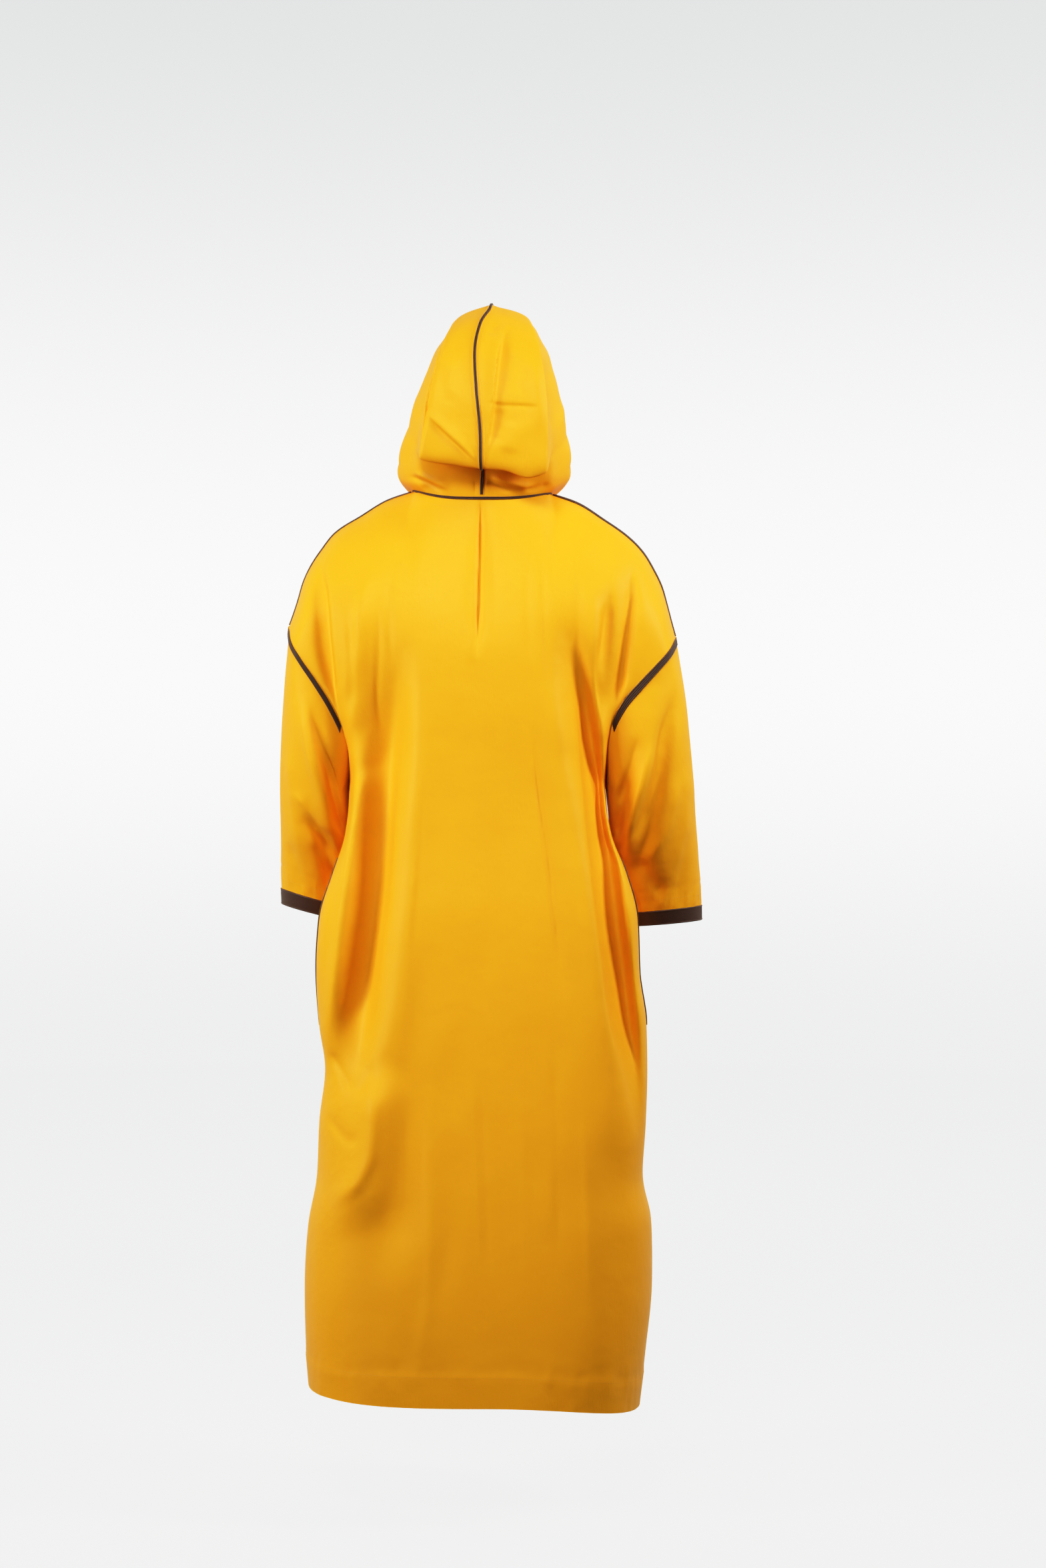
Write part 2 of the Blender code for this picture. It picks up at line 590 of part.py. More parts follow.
def hood(side, faces, runs):
    """Points of one half of the hood: rows along the runs, columns across its faces."""
    lines = hood_lines(runs)
    rows = []
    for line in lines:
        rows.append(np.stack([smooth(HOOD_STATIONS, line[:, axis], faces) for axis in range(3)], axis=-1))
    points = np.stack(rows)
    x, y, z = side * points[..., 0], points[..., 1], points[..., 2]
    run = runs[:, None] + np.zeros_like(faces)[None, :]

    near_peak = np.exp(-(((run - PEAK_EDGE_RUN) / PEAK_TILT_REACH) ** 2)) * step(9.0, 6.0, faces)[None, :]
    droop = PEAK_DROOP * np.exp(-(((x - PEAK_DROOP_X) / PEAK_DROOP_REACH) ** 2))
    z = z + (PEAK_TILT * x + droop) * near_peak
    risen = step(0.0, 0.1, run)
    wander = smooth(HOOD_SEAM["run"], HOOD_SEAM["x"], runs)[:, None] * step(0.05, 0.28, run)
    x = x + HOOD_LEAN * np.maximum(z, 0.0) * risen + wander * step(6.0, 0.0, faces)[None, :]
    points = np.stack([x, y, z], axis=-1)

    off_seam = neck_seam(side, faces)[None, :, :] - points[:1]
    return points + off_seam * (1.0 - step(0.0, 0.3, run))[..., None]


def hood_points(side):
    """The rows of points of one half of the hood."""
    return hood(side, np.arange(HOOD_FACES + 1, dtype=float), np.array(HOOD_RUNS))


# Pieces of cloth
@dataclass
class Piece:
    """A grid of points with their outward normals, and what it takes to make a wall of it."""

    name: str
    points: np.ndarray
    facing: int
    material: bpy.types.Material
    thick: float = CLOTH_THICK
    round_joined: bool = False
    slit_rows: int = 0
    seams: tuple = ()
    normals: np.ndarray = field(init=False)

    def __post_init__(self):
        self.normals = self.facing * unit(np.cross(self.across(), np.gradient(self.points, axis=0)))

    def across(self):
        """The direction along each row, at each point."""
        if not self.round_joined:
            return np.gradient(self.points, axis=1)
        wrapped = np.concatenate([self.points[:, -2:-1], self.points, self.points[:, 1:2]], axis=1)
        return np.gradient(wrapped, axis=1)[:, 1:-1]

    def along(self, border):
        """The direction along a border, at each of its points."""
        edge = BORDERS[border][0]
        on_row = border in ("top", "low")
        return unit(self.across()[edge] if on_row else np.gradient(self.points[edge], axis=0))


# A piece's four borders: how to reach the border's points and their inner neighbours
BORDERS = {
    "top": (np.s_[0, :], np.s_[1, :]),
    "low": (np.s_[-1, :], np.s_[-2, :]),
    "first": (np.s_[:, 0], np.s_[:, 1]),
    "last": (np.s_[:, -1], np.s_[:, -2]),
}


def place_key(point):
    """A point's place, rounded, to find it again."""
    return tuple(np.round(point, 5))


def meet_flat(pieces, underarms=()):
    """Give points that pieces share on a seam one normal, so that their edges meet flat.

    Pieces that already share one count once. At the underarm points the sleeve lies back
    to back with the body, so it keeps its own.
    """
    back_to_back = {place_key(point) for point in underarms}
    meeting = {}
    for piece in pieces:
        rows, columns = piece.points.shape[:2]
        for row in range(rows):
            for column in range(columns):
                key = place_key(piece.points[row, column])
                on_border = row in (0, rows - 1) or column in (0, columns - 1)
                if on_border and not (piece.round_joined and key in back_to_back):
                    meeting.setdefault(key, []).append((piece, row, column))
    for group in meeting.values():
        met = np.unique(np.round([piece.normals[row, column] for piece, row, column in group], 5), axis=0)
        shared = unit(met.sum(axis=0))
        for piece, row, column in group:
            piece.normals[row, column] = shared


def trim_seams(piece):
    """Draw a piece back from its seams by half the seam's gap, square to each seam."""
    points = piece.points.copy()
    for border in piece.seams:
        edge, neighbours = BORDERS[border]
        inward = piece.points[neighbours] - piece.points[edge]
        square = unit(np.cross(piece.along(border), piece.normals[edge]))
        own_side = np.sign(np.sum(inward * square, axis=-1, keepdims=True))
        points[edge] += square * own_side * 0.5 * SEAM_GAP
    piece.points = points


def make_wall(piece, collection):
    """Make the solid wall of a piece: its outer face through the points, its thickness inward."""
    rows, columns = piece.points.shape[:2]
    outer = piece.points.reshape(-1, 3)
    inner = (piece.points - piece.thick * piece.normals).reshape(-1, 3)
    wall = bmesh.new()
    place = wall.verts.layers.int.new("place")
    bmesh.ops.create_grid(wall, x_segments=columns - 1, y_segments=rows - 1, size=1.0)
    for number, vertex in enumerate(wall.verts):
        vertex[place] = number
        vertex.co = inner[number]
    if piece.slit_rows:
        middle = (columns - 2) // 2
        slit = [face for number, face in enumerate(wall.faces)
                if number % (columns - 1) == middle and number // (columns - 1) < piece.slit_rows]
        bmesh.ops.delete(wall, geom=slit, context="FACES")
    if piece.round_joined:
        bmesh.ops.remove_doubles(wall, verts=wall.verts, dist=1e-6)
    raised = bmesh.ops.extrude_face_region(wall, geom=wall.faces[:])
    for element in raised["geom"]:
        if isinstance(element, bmesh.types.BMVert):
            element.co = outer[element[place]]
    bmesh.ops.recalc_face_normals(wall, faces=wall.faces[:])
    wall.verts.layers.int.remove(place)
    mesh = bpy.data.meshes.new(piece.name)
    wall.to_mesh(mesh)
    wall.free()
    mesh.materials.append(piece.material)
    mesh.shade_smooth()
    mesh.set_sharp_from_angle(angle=math.radians(50))
    made = bpy.data.objects.new(piece.name, mesh)
    collection.objects.link(made)
    return made


# Trims
def trim(name, lines, facing, material, thick, lift=TRIM_LIFT, round_joined=False):
    """A band of braid or cord on lines of points that lie on the cloth, moved out from them.

    On three lines, two beside a seam and one on it, it stands out square to the seam.
    """
    band = Piece(name, lines, facing, material, thick=thick, round_joined=round_joined)
    if len(lines) == 3:
        band.normals[:] = band.normals[1]
    band.points = band.points + (lift + thick) * band.normals
    return band


def beside(edge, neighbours, width):
    """Points on the cloth at a width from its edge, toward the next points in."""
    return edge + unit(neighbours - edge) * width


def over_seam(edge, side_a, side_b, width):
    """Three lines along a seam: one on it, and one on each of the pieces that meet there."""
    return np.stack([beside(edge, side_a, 0.5 * width), edge, beside(edge, side_b, 0.5 * width)])


def short_of_ends(lines, first_gap, last_gap):
    """Lines of points with their ends drawn in."""
    lines = lines.copy()
    lines[:, 0] += unit(lines[:, 1] - lines[:, 0]) * first_gap
    lines[:, -1] += unit(lines[:, -2] - lines[:, -1]) * last_gap
    return lines


def neck_trim(back, front, hoods, cord):
    """The piping round the neck seam, from the front slit's right edge behind to its left."""
    neck = len(NECK_STEPS)
    behind = back.points.shape[1] // 2
    before = front.points.shape[1] // 2
    lines = {}
    for side, hood_half in hoods.items():
        slit = before if side == LEFT else before - 1
        back_side = back.points[1, [behind + side * step_in for step_in in range(neck)]]
        corner = back.points[:1, behind + side * (neck + 1)]
        front_side = front.points[1, [slit + side * step_in for step_in in range(neck - 1, -1, -1)]]
        panel_side = along_neck(np.concatenate([back_side, corner, front_side]), np.arange(HOOD_FACES + 1))
        lines[side] = over_seam(hood_half.points[0], hood_half.points[1], panel_side, PIPING_WIDTH)
    lines = np.concatenate([lines[RIGHT][:, ::-1], lines[LEFT][:, 1:]], axis=1)
    lines = short_of_ends(lines, TRIM_END_GAP, TRIM_END_GAP)
    return trim("neck_piping", lines, 1, cord, PIPING_THICK, lift=NECK_PIPING_LIFT)


def hood_trim(hoods, cord):
    """The piping over the hood's centre seam, from the neck to the face edge."""
    left, right = hoods[LEFT].points, hoods[RIGHT].points
    lines = over_seam(left[:, 0], left[:, 1], right[:, 1], PIPING_WIDTH)
    lines = short_of_ends(lines, 0.5 * PIPING_WIDTH + TRIM_END_GAP, TRIM_END_GAP)
    return trim("hood_piping", lines, -1, cord, PIPING_THICK)


def shoulder_trim(side, name, back, front, braid):
    """The braid along a shoulder seam, from the neck piping to the armhole."""
    neck = len(NECK_STEPS)
    columns = back.points.shape[1] // 2 + side * np.arange(neck, neck + SIDE_FACES + 1)
    front_columns = columns if side == RIGHT else columns + 1
    seam, behind, before = back.points[0, columns], back.points[1, columns], front.points[1, front_columns]
    lines = over_seam(seam, behind, before, SHOULDER_BRAID_WIDTH)
    lines = short_of_ends(lines, SHOULDER_BRAID_NECK_GAP, TRIM_END_GAP)
    return trim(f"shoulder_braid_{name}", lines, -side, braid, BRAID_THICK)


def armhole_trim(side, name, sleeve_piece, braid):
    """The braid on the sleeve along its armhole, open where the sleeve lies on the body."""
    behind = np.arange(ARMHOLE_FACES - ARMHOLE_BRAID_OPEN_FACES + 1)
    before = np.arange(ARMHOLE_FACES + ARMHOLE_BRAID_OPEN_FACES, 2 * ARMHOLE_FACES)
    lines = sleeve_piece.points[:2, np.concatenate([before, behind])]
    lines[0] = beside(lines[0], lines[1], ARMHOLE_BRAID_INSET)
    return trim(f"armhole_braid_{name}", lines, -side, braid, BRAID_THICK)


def cuff_trim(side, name, sleeve_piece, braid):
    """The braid round a cuff."""
    lines = sleeve_piece.points[-2:]
    return trim(f"cuff_braid_{name}", lines, -side, braid, BRAID_THICK, round_joined=True)


def pocket_trim(side, name, panel, cord):
    """The piping on a panel's edge of a pocket slit."""
    first = int(np.searchsorted(panel_levels(), SLIT_TOP_LEVEL - 0.01))
    rows = slice(first, first + SLIT_FACES + 1)
    edge, neighbours = BORDERS["last" if side == LEFT else "first"]
    at_edge, inside = panel.points[edge][rows], panel.points[neighbours][rows]
    lines = np.stack([beside(at_edge, inside, SEAM_GAP), beside(at_edge, inside, PIPING_WIDTH)])
    lines = short_of_ends(lines, TRIM_END_GAP, TRIM_END_GAP)
    return trim(f"pocket_piping_{name}", lines, side * panel.facing, cord, PIPING_THICK)


def make_material(name, color, roughness):
    """A plain cloth material."""
    material = bpy.data.materials.new(name)
    material.use_nodes = True
    material.diffuse_color = (*color, 1.0)
    shader = material.node_tree.nodes["Principled BSDF"]
    shader.inputs["Base Color"].default_value = (*color, 1.0)
    shader.inputs["Roughness"].default_value = roughness
    shader.inputs["Metallic"].default_value = 0.0
    return material


def clear_scene():
    """Remove the objects that the scene starts with."""
    for leftover in list(bpy.data.objects):
        bpy.data.objects.remove(leftover, do_unlink=True)


def main():
    clear_scene()
    crepe = make_material("mustard_crepe", (0.76, 0.40, 0.025), 0.5)
    braid = make_material("brown_braid", (0.085, 0.042, 0.028), 0.6)

    round_body = ("top", "first", "last")
    back = Piece("back_panel", back_points(), 1, crepe, seams=round_body)
    front = Piece("front_panel", front_points(), -1, crepe, seams=round_body)
    front.slit_rows = int(np.searchsorted(panel_levels(), FRONT_SLIT_LEVELS - 0.01))
    names = {LEFT: "left", RIGHT: "right"}
    sleeves, hoods = {}, {}
    for side, name in names.items():
        rings = sleeve_points(side)
        sleeves[side] = Piece(f"sleeve_{name}", rings, -side, crepe, seams=("top",), round_joined=True)
        hoods[side] = Piece(f"hood_{name}", hood_points(side), -side, crepe, seams=("top", "first"))
    cloth = [back, front, *sleeves.values(), *hoods.values()]
    meet_flat([back, front])
    meet_flat(list(hoods.values()))
    meet_flat(cloth, [body("back", side, UNDERARM_LEVEL) for side in names])
    trims = [neck_trim(back, front, hoods, braid), hood_trim(hoods, braid)]
    for side, name in names.items():
        trims += [
            shoulder_trim(side, name, back, front, braid),
            armhole_trim(side, name, sleeves[side], braid),
            cuff_trim(side, name, sleeves[side], braid),
            pocket_trim(side, f"back_{name}", back, braid),
            pocket_trim(side, f"front_{name}", front, braid),
        ]
    for piece in cloth:
        trim_seams(piece)
    collection = bpy.data.collections.new("djellaba")
    bpy.context.scene.collection.children.link(collection)
    for piece in cloth + trims:
        make_wall(piece, collection)


main()
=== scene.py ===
import math

import bpy
import numpy as np
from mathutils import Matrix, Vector


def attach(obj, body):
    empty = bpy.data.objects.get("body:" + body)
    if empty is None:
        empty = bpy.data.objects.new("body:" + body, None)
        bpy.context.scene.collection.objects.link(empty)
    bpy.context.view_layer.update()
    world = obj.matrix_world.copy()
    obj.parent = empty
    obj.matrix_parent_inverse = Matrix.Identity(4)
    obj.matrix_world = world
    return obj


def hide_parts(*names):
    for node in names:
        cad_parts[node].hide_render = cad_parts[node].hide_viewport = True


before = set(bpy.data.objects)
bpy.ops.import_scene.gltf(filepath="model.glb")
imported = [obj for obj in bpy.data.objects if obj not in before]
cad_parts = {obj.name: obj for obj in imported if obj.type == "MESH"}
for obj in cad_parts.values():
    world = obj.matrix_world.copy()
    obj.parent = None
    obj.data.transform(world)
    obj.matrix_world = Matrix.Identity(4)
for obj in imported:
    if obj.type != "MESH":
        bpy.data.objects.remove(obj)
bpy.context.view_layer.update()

MM = 0.001
LEFT, RIGHT = 1, -1

# Widths and heights of the trims, how far they lift off the cloth, and how far their feet and
# ends go down into it
PIPING_WIDTH = 0.0046
PIPING_HEIGHT = 0.0015
SHOULDER_BRAID_WIDTH = 0.0054
ARMHOLE_BRAID_WIDTH = 0.0105
CUFF_BRAID_WIDTH = 0.018
BRAID_HEIGHT = 0.0014
TRIM_LIFT = 0.0004
LOW_TRIM_LIFT = 0.0003
FOOT_SINK = 0.0004
END_SINK = 0.002
ARMHOLE_BRAID_INSET = 0.0008
# The turn of the sleeve that the armhole braid covers, to each side of its top
ARMHOLE_BRAID_TURN = 0.35

# Fineness of the trims: the step along them, and the columns across piping, braid and cuff
CORD_STEP = 0.0008
CORD_COLUMNS = 14
ARMHOLE_COLUMNS = 28
CUFF_COLUMNS = 40
# Pitches of the threads that wind round the cords of the piping and the braid, and of the cuff's ribs
PIPING_PITCH = 0.0024
BRAID_PITCH = 0.0026
RIB_PITCH = 0.0021
# Where the shoulder braid starts, in neck shares, and how much of it lies behind its seam
SHOULDER_BRAID_START = 1.045
SHOULDER_BRAID_BEHIND = {LEFT: 0.5, RIGHT: 0.95}

# A stitch: its sections along it (share of its length, width, rise), sides, and depth in the cloth
STITCH_SECTIONS = (
    (0.0, 0.15, -0.9), (0.12, 0.8, 0.15), (0.5, 1.0, 0.6), (0.88, 0.8, 0.15), (1.0, 0.15, -0.9)
)
STITCH_SIDES = 6
STITCH_SINK = 0.3
# Length, gap and radius of the stitches, and of the finer ones round the neck
STITCH = (0.0026, 0.0010, 0.00030)
FINE_STITCH = (0.0022, 0.0012, 0.00028)

# Neck opening: how much of a panel's half width it takes, its depths and corners (left, right),
# how far back the shoulder seams run, and the slit below it in front (at its top, at its end)
NECK_SHARE = 0.353
NECK_BACK_DEPTH = 0.085
NECK_FRONT_DEPTH = 0.092
NECK_CORNER_Z = (0.018, 0.014)
SHOULDER_SEAM_BACK = (0.0, 0.020)
FRONT_SLIT_LEVELS = 5.6
FRONT_SLIT_WIDTH = (0.0070, 0.0030)
# How far across the neck the part's own neck points lie
NECK_STEPS = (0.34, 0.62, 0.82, 0.94, 1.0)

# Levels down the robe, counted in rows of the table below: the underarm, the hem, and the
# pocket slits in the side seams
UNDERARM_LEVEL = 7.0
HEM_LEVEL = 20.0
SLIT_TOP_LEVEL = 9.6
SLIT_LOW_LEVEL = SLIT_TOP_LEVEL + 4 * (HEM_LEVEL - UNDERARM_LEVEL) / 15
SLIT_GAPE = 0.011

# How much the panels' columns fan out below the neck, and within how many levels
COLUMN_FAN = 0.4
COLUMN_FAN_LEVELS = 1.4

# How the panels hang: the level where the shoulders' line has passed into a hanging curve, the
# power of that curve, and how far under the shoulders the body is full, at its middle and edge
HANGING_LEVEL = 5.0
HANGING_POWER = 2.3
FULL_REACH = (0.24, 0.09)

# The studio's floor, the radius of its flat part, the bend into its wall, the wall's heights
FLOOR_Z = -1.548
STUDIO_RADIUS = 7.4
STUDIO_BEND = 2.2
STUDIO_WALL = (5.0, 9.0)

# The picture's tone: light in, light shown
TONE = ((0.04, 0.018), (0.09, 0.064), (0.20, 0.22), (0.45, 0.62), (0.75, 0.88))
RED_TONE = ((0.30, 0.278), (0.50, 0.482), (0.70, 0.695))


def table(columns, *rows):
    """A table as a dictionary: one array for each named column. Lengths are in millimetres in
    the rows and in metres in the arrays; levels, shares, runs and turns stay as they are."""
    plain = ("level", "share", "run", "turn")
    values = np.array(rows, dtype=float).T
    return {name: one * (1.0 if name.endswith(plain) else MM) for name, one in zip(columns.split(), values)}


# One row for each level of the robe: its middle behind and in front, its edges at left and right
LEVELS = table(
    "level back_z front_z back_y front_y left_x left_z right_x right_z",
    (0, 0, -55, 85, -92, 297, -189, 298, -206),
    (1, -40, -88, 98, -105, 291, -213, 286, -228),
    (2, -85, -125, 112, -118, 274, -243, 264, -253),
    (3, -135, -168, 125, -130, 253, -273, 240, -278),
    (4, -190, -215, 134, -138, 231, -308, 216, -306),
    (5, -250, -268, 138, -142, 213, -348, 198, -345),
    (6, -315, -325, 138, -144, 203, -390, 191, -390),
    (7, -375, -380, 136, -146, 201, -428, 189, -432),
    (8, -440, -442, 135, -148, 202, -462, 190, -466),
    (9, -505, -505, 137, -150, 208, -510, 197, -512),
    (10, -570, -570, 142, -152, 227, -571, 221, -571),
    (11, -640, -640, 148, -154, 248, -640, 238, -640),
    (12, -720, -720, 152, -156, 253, -720, 241, -720),
    (13, -800, -800, 156, -160, 249, -800, 252, -800),
    (14, -870, -870, 160, -164, 240, -870, 253, -870),
    (15, -950, -950, 166, -169, 249, -950, 251, -950),
    (16, -1030, -1030, 172, -175, 253, -1030, 246, -1030),
    (17, -1110, -1110, 178, -181, 267, -1110, 261, -1110),
    (18, -1200, -1200, 186, -187, 273, -1200, 262, -1200),
    (19, -1290, -1290, 194, -194, 271, -1288, 253, -1298),
    (20, -1360, -1360, 200, -200, 266, -1353, 242, -1385),
)
EDGE_X = (LEVELS["left_x"][0], LEVELS["right_x"][0])

# Depth of the panels' edges: each on its own round the armhole, then together on the side seam
ARMHOLE_EDGE = table(
    "level back_y front_y",
    (0, 60, -50),
    (1, 75, -62),
    (2, 84, -72),
    (3, 86, -76),
    (4, 82, -73),
    (5, 72, -54),
    (6, 56, -18),
    (7, 26, 26),
)
SIDE_SEAM = table(
    "level y",
    (7, 26),
    (8, 46),
    (9, 55),
    (10, 54),
    (11, 44),
    (13, 25),
    (15, 10),
    (17, 0),
    (20, 0),
)

# The line of the shoulders, from the neck's corner to the top of the armhole
SHOULDER = table(
    "share left_z right_z",
    (0.353, 18, 14),
    (0.49, 4, -1),
    (0.63, -21, -28),
    (0.765, -47, -57),
    (0.835, -73, -79),
    (0.892, -99, -107),
    (0.93, -124, -131),
    (0.955, -150, -157),
    (0.978, -171, -183),
    (1, -189, -206),
)

# Folds that hang down the panels: the line of each by three points, its reach to
# either side, and how far it stands out (a furrow is below zero)
FOLD_COLUMNS = "top_x top_z middle_x low_x low_z to_left to_right height"
BACK_FOLDS = table(
    FOLD_COLUMNS,
    # left: long furrow, the ridge inside it and the one outside it
    (124, -200, 152, 202, -940, 40, 20, -42),
    (92, -300, 106, 160, -980, 22, 18, 6),
    (186, -340, 206, 240, -870, 12, 20, 18),
    # left: a short furrow and a ridge under the shoulder
    (249, -100, 242, 226, -310, 10, 12, -8),
    (176, -120, 190, 205, -400, 12, 14, 6),
    # left, low: the cloth pulled to the knee
    (154, -850, 166, 218, -1120, 34, 48, 18),
    (112, -840, 116, 140, -1180, 30, 34, -9),
    # right: long ridge, the deep furrow outside it, the ridge outside that
    (-96, -140, -154, -232, -1030, 28, 12, 8),
    (-128, -160, -198, -240, -1000, 32, 12, -42),
    (-178, -360, -214, -246, -880, 12, 16, 8),
    (-160, -130, -180, -200, -500, 10, 12, 7),
    # right: furrows from the shoulder to the underarm
    (-222, -100, -211, -192, -350, 10, 12, -10),
    (-196, -130, -186, -180, -360, 12, 10, -9),
    # middle: the short pressed furrow under the neck
    (4, -20, 5, 7, -240, 12, 12, -4),
)
FRONT_FOLDS = table(
    FOLD_COLUMNS,
    (150, -200, 160, 196, -900, 22, 26, -14),
    (105, -280, 120, 150, -1050, 26, 26, 9),
    (50, -550, 62, 90, -1300, 30, 30, -8),
    (230, -110, 222, 206, -330, 11, 13, -8),
    (-100, -240, -122, -160, -1020, 24, 22, 10),
    (-142, -210, -160, -206, -860, 20, 24, -14),
    (-40, -480, -52, -74, -1250, 28, 28, -8),
    (-215, -120, -206, -188, -340, 11, 12, -9),
)

# One row for each section of a sleeve: its outer and inner points, its middle and half depth
SLEEVE_COLUMNS = "run outer_x outer_z inner_x inner_z middle_y half_y"
SLEEVES = {
    LEFT: table(
        SLEEVE_COLUMNS,
        (0, 297, -189, 201, -428, 12, 80),
        (0.25, 305, -280, 203, -462, 10, 78),
        (0.5, 310, -380, 203, -505, -6, 73),
        (0.72, 314.5, -480, 206, -550, -36, 67),
        (0.9, 316, -575, 213, -608, -74, 60),
        (1, 315.5, -622, 215, -648, -90, 57),
    ),
    RIGHT: table(
        SLEEVE_COLUMNS,
        (0, 298, -206, 189, -432, 12, 80),
        (0.25, 313.2, -305, 193, -468, 10, 78),
        (0.5, 324, -410, 197, -512, -6, 73),
        (0.72, 333.5, -510, 206, -560, -36, 67),
        (0.9, 341.5, -602, 218, -618, -70, 60),
        (1, 343, -647, 223, -657, -84, 57),
    ),
}
SLEEVE_BLEND = 0.4

# Folds in the sleeves: the line of each by its ends, its reach and its height
SLEEVE_FOLD_COLUMNS = "top_turn top_run low_turn low_run reach_turn height"
SLEEVE_FOLDS = {
    LEFT: table(
        SLEEVE_FOLD_COLUMNS,
        (0.3, 0.2, 0.42, 0.62, 0.045, -10),
        (0.2, 0.1, 0.34, 0.75, 0.04, 6),
        (0.22, 0.55, 0.4, 0.92, 0.04, -8),
        (0.66, 0.15, 0.8, 0.8, 0.05, -9),
    ),
    RIGHT: table(
        SLEEVE_FOLD_COLUMNS,
        (0.1, 0.12, 0.36, 0.85, 0.045, -11),
        (0.24, 0.25, 0.4, 0.8, 0.04, 7),
        (0.35, 0.2, 0.44, 0.6, 0.04, -8),
        (0.68, 0.15, 0.78, 0.8, 0.05, -9),
    ),
}

# The hood, from the neck seam to the face edge. Each table is one line over it, from the
# back to the front: along the centre seam, the folded peak's side edge, the hollow beside
# it, the side of the head, the cheek and the throat.
HOOD_CENTRE = table(
    "run y z",
    (0, 85, 0),
    (0.05, 90, 28),
    (0.1, 95, 55),
    (0.15, 103, 72),
    (0.2, 113, 64),
    (0.24, 121, 49),
    (0.28, 130, 38.5),
    (0.33, 138, 50),
    (0.4, 142, 85),
    (0.5, 143, 130),
    (0.6, 137, 175),
    (0.68, 124, 215),
    (0.76, 98, 255),
    (0.84, 58, 288),
    (0.9, 18, 304),
    (0.95, -36, 302),
    (1, -85, 283),
)
# The peak's edge, measured from the centre line: its half width, how far it lies
# forward of that line, and how much higher
HOOD_PEAK_EDGE = table(
    "run x forward rise",
    (0, 73.5, 27, 8),
    (0.15, 79, 9, -6),
    (0.23, 86, 9, 1),
    (0.28, 96.5, 9, 7),
    (0.5, 93, 16, 0),
    (0.68, 79, 18, -4),
    (0.84, 58, 12, -14),
    (0.92, 45, 4, -17),
    (1, 45, 0, -12),
)
HOOD_LINE_COLUMNS = "run x y z"
HOOD_HOLLOW = table(
    HOOD_LINE_COLUMNS,
    (0, 88, 46, 13),
    (0.05, 101, 50, 26),
    (0.1, 104, 54, 40),
    (0.28, 104, 60, 80),
    (0.5, 90, 68, 145),
    (0.68, 77, 66, 208),
    (0.84, 64, 34, 262),
    (0.92, 66, -12, 270),
    (1, 66, -88, 256),
)
HOOD_SIDE = table(
    HOOD_LINE_COLUMNS,
    (0, 105, 0, 18),
    (0.06, 129, 0, 34),
    (0.14, 136.5, 0, 56),
    (0.34, 126.5, 0, 107),
    (0.53, 113, -4, 159),
    (0.7, 97, -13, 210),
    (0.86, 86, -40, 238),
    (1, 80, -89, 222),
)
HOOD_CHEEK = table(
    HOOD_LINE_COLUMNS,
    (0, 45, -83, -36),
    (0.3, 80, -79, 12),
    (0.6, 98, -71, 60),
    (0.85, 98.5, -75, 103),
    (1, 95, -91, 128),
)
HOOD_THROAT = table(
    HOOD_LINE_COLUMNS,
    (0, 4, -93, -55),
    (0.5, 16, -101, -26),
    (1, 35, -104, 10),
)
# Where those lines lie across one half of the hood, counted in faces from the centre seam
HOOD_STATIONS = (0.0, 6.0, 9.0, 10.5, 13.0, 15.0)
HOOD_FACES = 15
# How many faces from the centre seam the hood meets each of the panels' neck points
HOOD_BACK_MEETS = (0, 3, 6, 8, 9, 10)
HOOD_FRONT_MEETS = (11, 12, 13, 14, 15)
# The hood leans to the right as it rises, and its seam wanders from the middle of the peak
HOOD_LEAN = -0.060
HOOD_SEAM = table(
    "run x",
    (0.28, 2),
    (0.42, 7),
    (0.57, 17),
    (0.7, 23),
    (0.78, 18),
    (0.86, 5),
    (1, 0),
)
PEAK_EDGE_RUN = 0.28
PEAK_TILT = 0.094
PEAK_TILT_REACH = 0.09
PEAK_DROOP = -0.010
PEAK_DROOP_X = -0.070
PEAK_DROOP_REACH = 0.022


# Helpers
def step(start, end, value):
    """A soft step: 0 at start, 1 at end."""
    part = np.clip((value - start) / (end - start), 0.0, 1.0)
    return part * part * (3.0 - 2.0 * part)


def smooth(knots, values, place):
    """Read the smooth curve through (knot, value) at each place, with no swing past a knot."""
    knots = np.asarray(knots, dtype=float)
    values = np.asarray(values, dtype=float)
    place = np.clip(place, knots[0], knots[-1])
    spans = np.diff(knots)
    rises = np.diff(values) / spans
    slopes = np.concatenate([rises[:1], np.zeros(len(knots) - 2), rises[-1:]])
    steady = np.flatnonzero(rises[:-1] * rises[1:] > 0)
    before, after = rises[steady], rises[steady + 1]
    weight_before = 2.0 * spans[steady + 1] + spans[steady]
    weight_after = spans[steady + 1] + 2.0 * spans[steady]
    slopes[steady + 1] = (weight_before + weight_after) / (weight_before / before + weight_after / after)
    first = np.clip(np.searchsorted(knots, place, side="right") - 1, 0, len(knots) - 2)
    span = spans[first]
    part = (place - knots[first]) / span
    rest = 1.0 - part
    ends = values[first] * (1.0 + 2.0 * part) * rest**2 + values[first + 1] * (1.0 + 2.0 * rest) * part**2
    tangents = slopes[first] * rest - slopes[first + 1] * part
    return ends + tangents * span * part * rest


def read(rows, column, place):
    """Read a table's column at places along its first one."""
    return smooth(next(iter(rows.values())), rows[column], place)


def bell(value):
    """A soft bump: 1 at zero, falling away on both sides."""
    return np.exp(-(value**2))


def unit(vectors):
    """The vectors at length one."""
    return vectors / np.maximum(np.linalg.norm(vectors, axis=-1, keepdims=True), 1e-12)


def strides(points, axis=0):
    """How far each point lies from the one before it, with 0 for the first."""
    first = np.take(points, [0], axis=axis)
    return np.linalg.norm(np.diff(points, axis=axis, prepend=first), axis=-1)


def arc(line):
    """How far along a polyline each of its points lies."""
    return np.cumsum(strides(line))


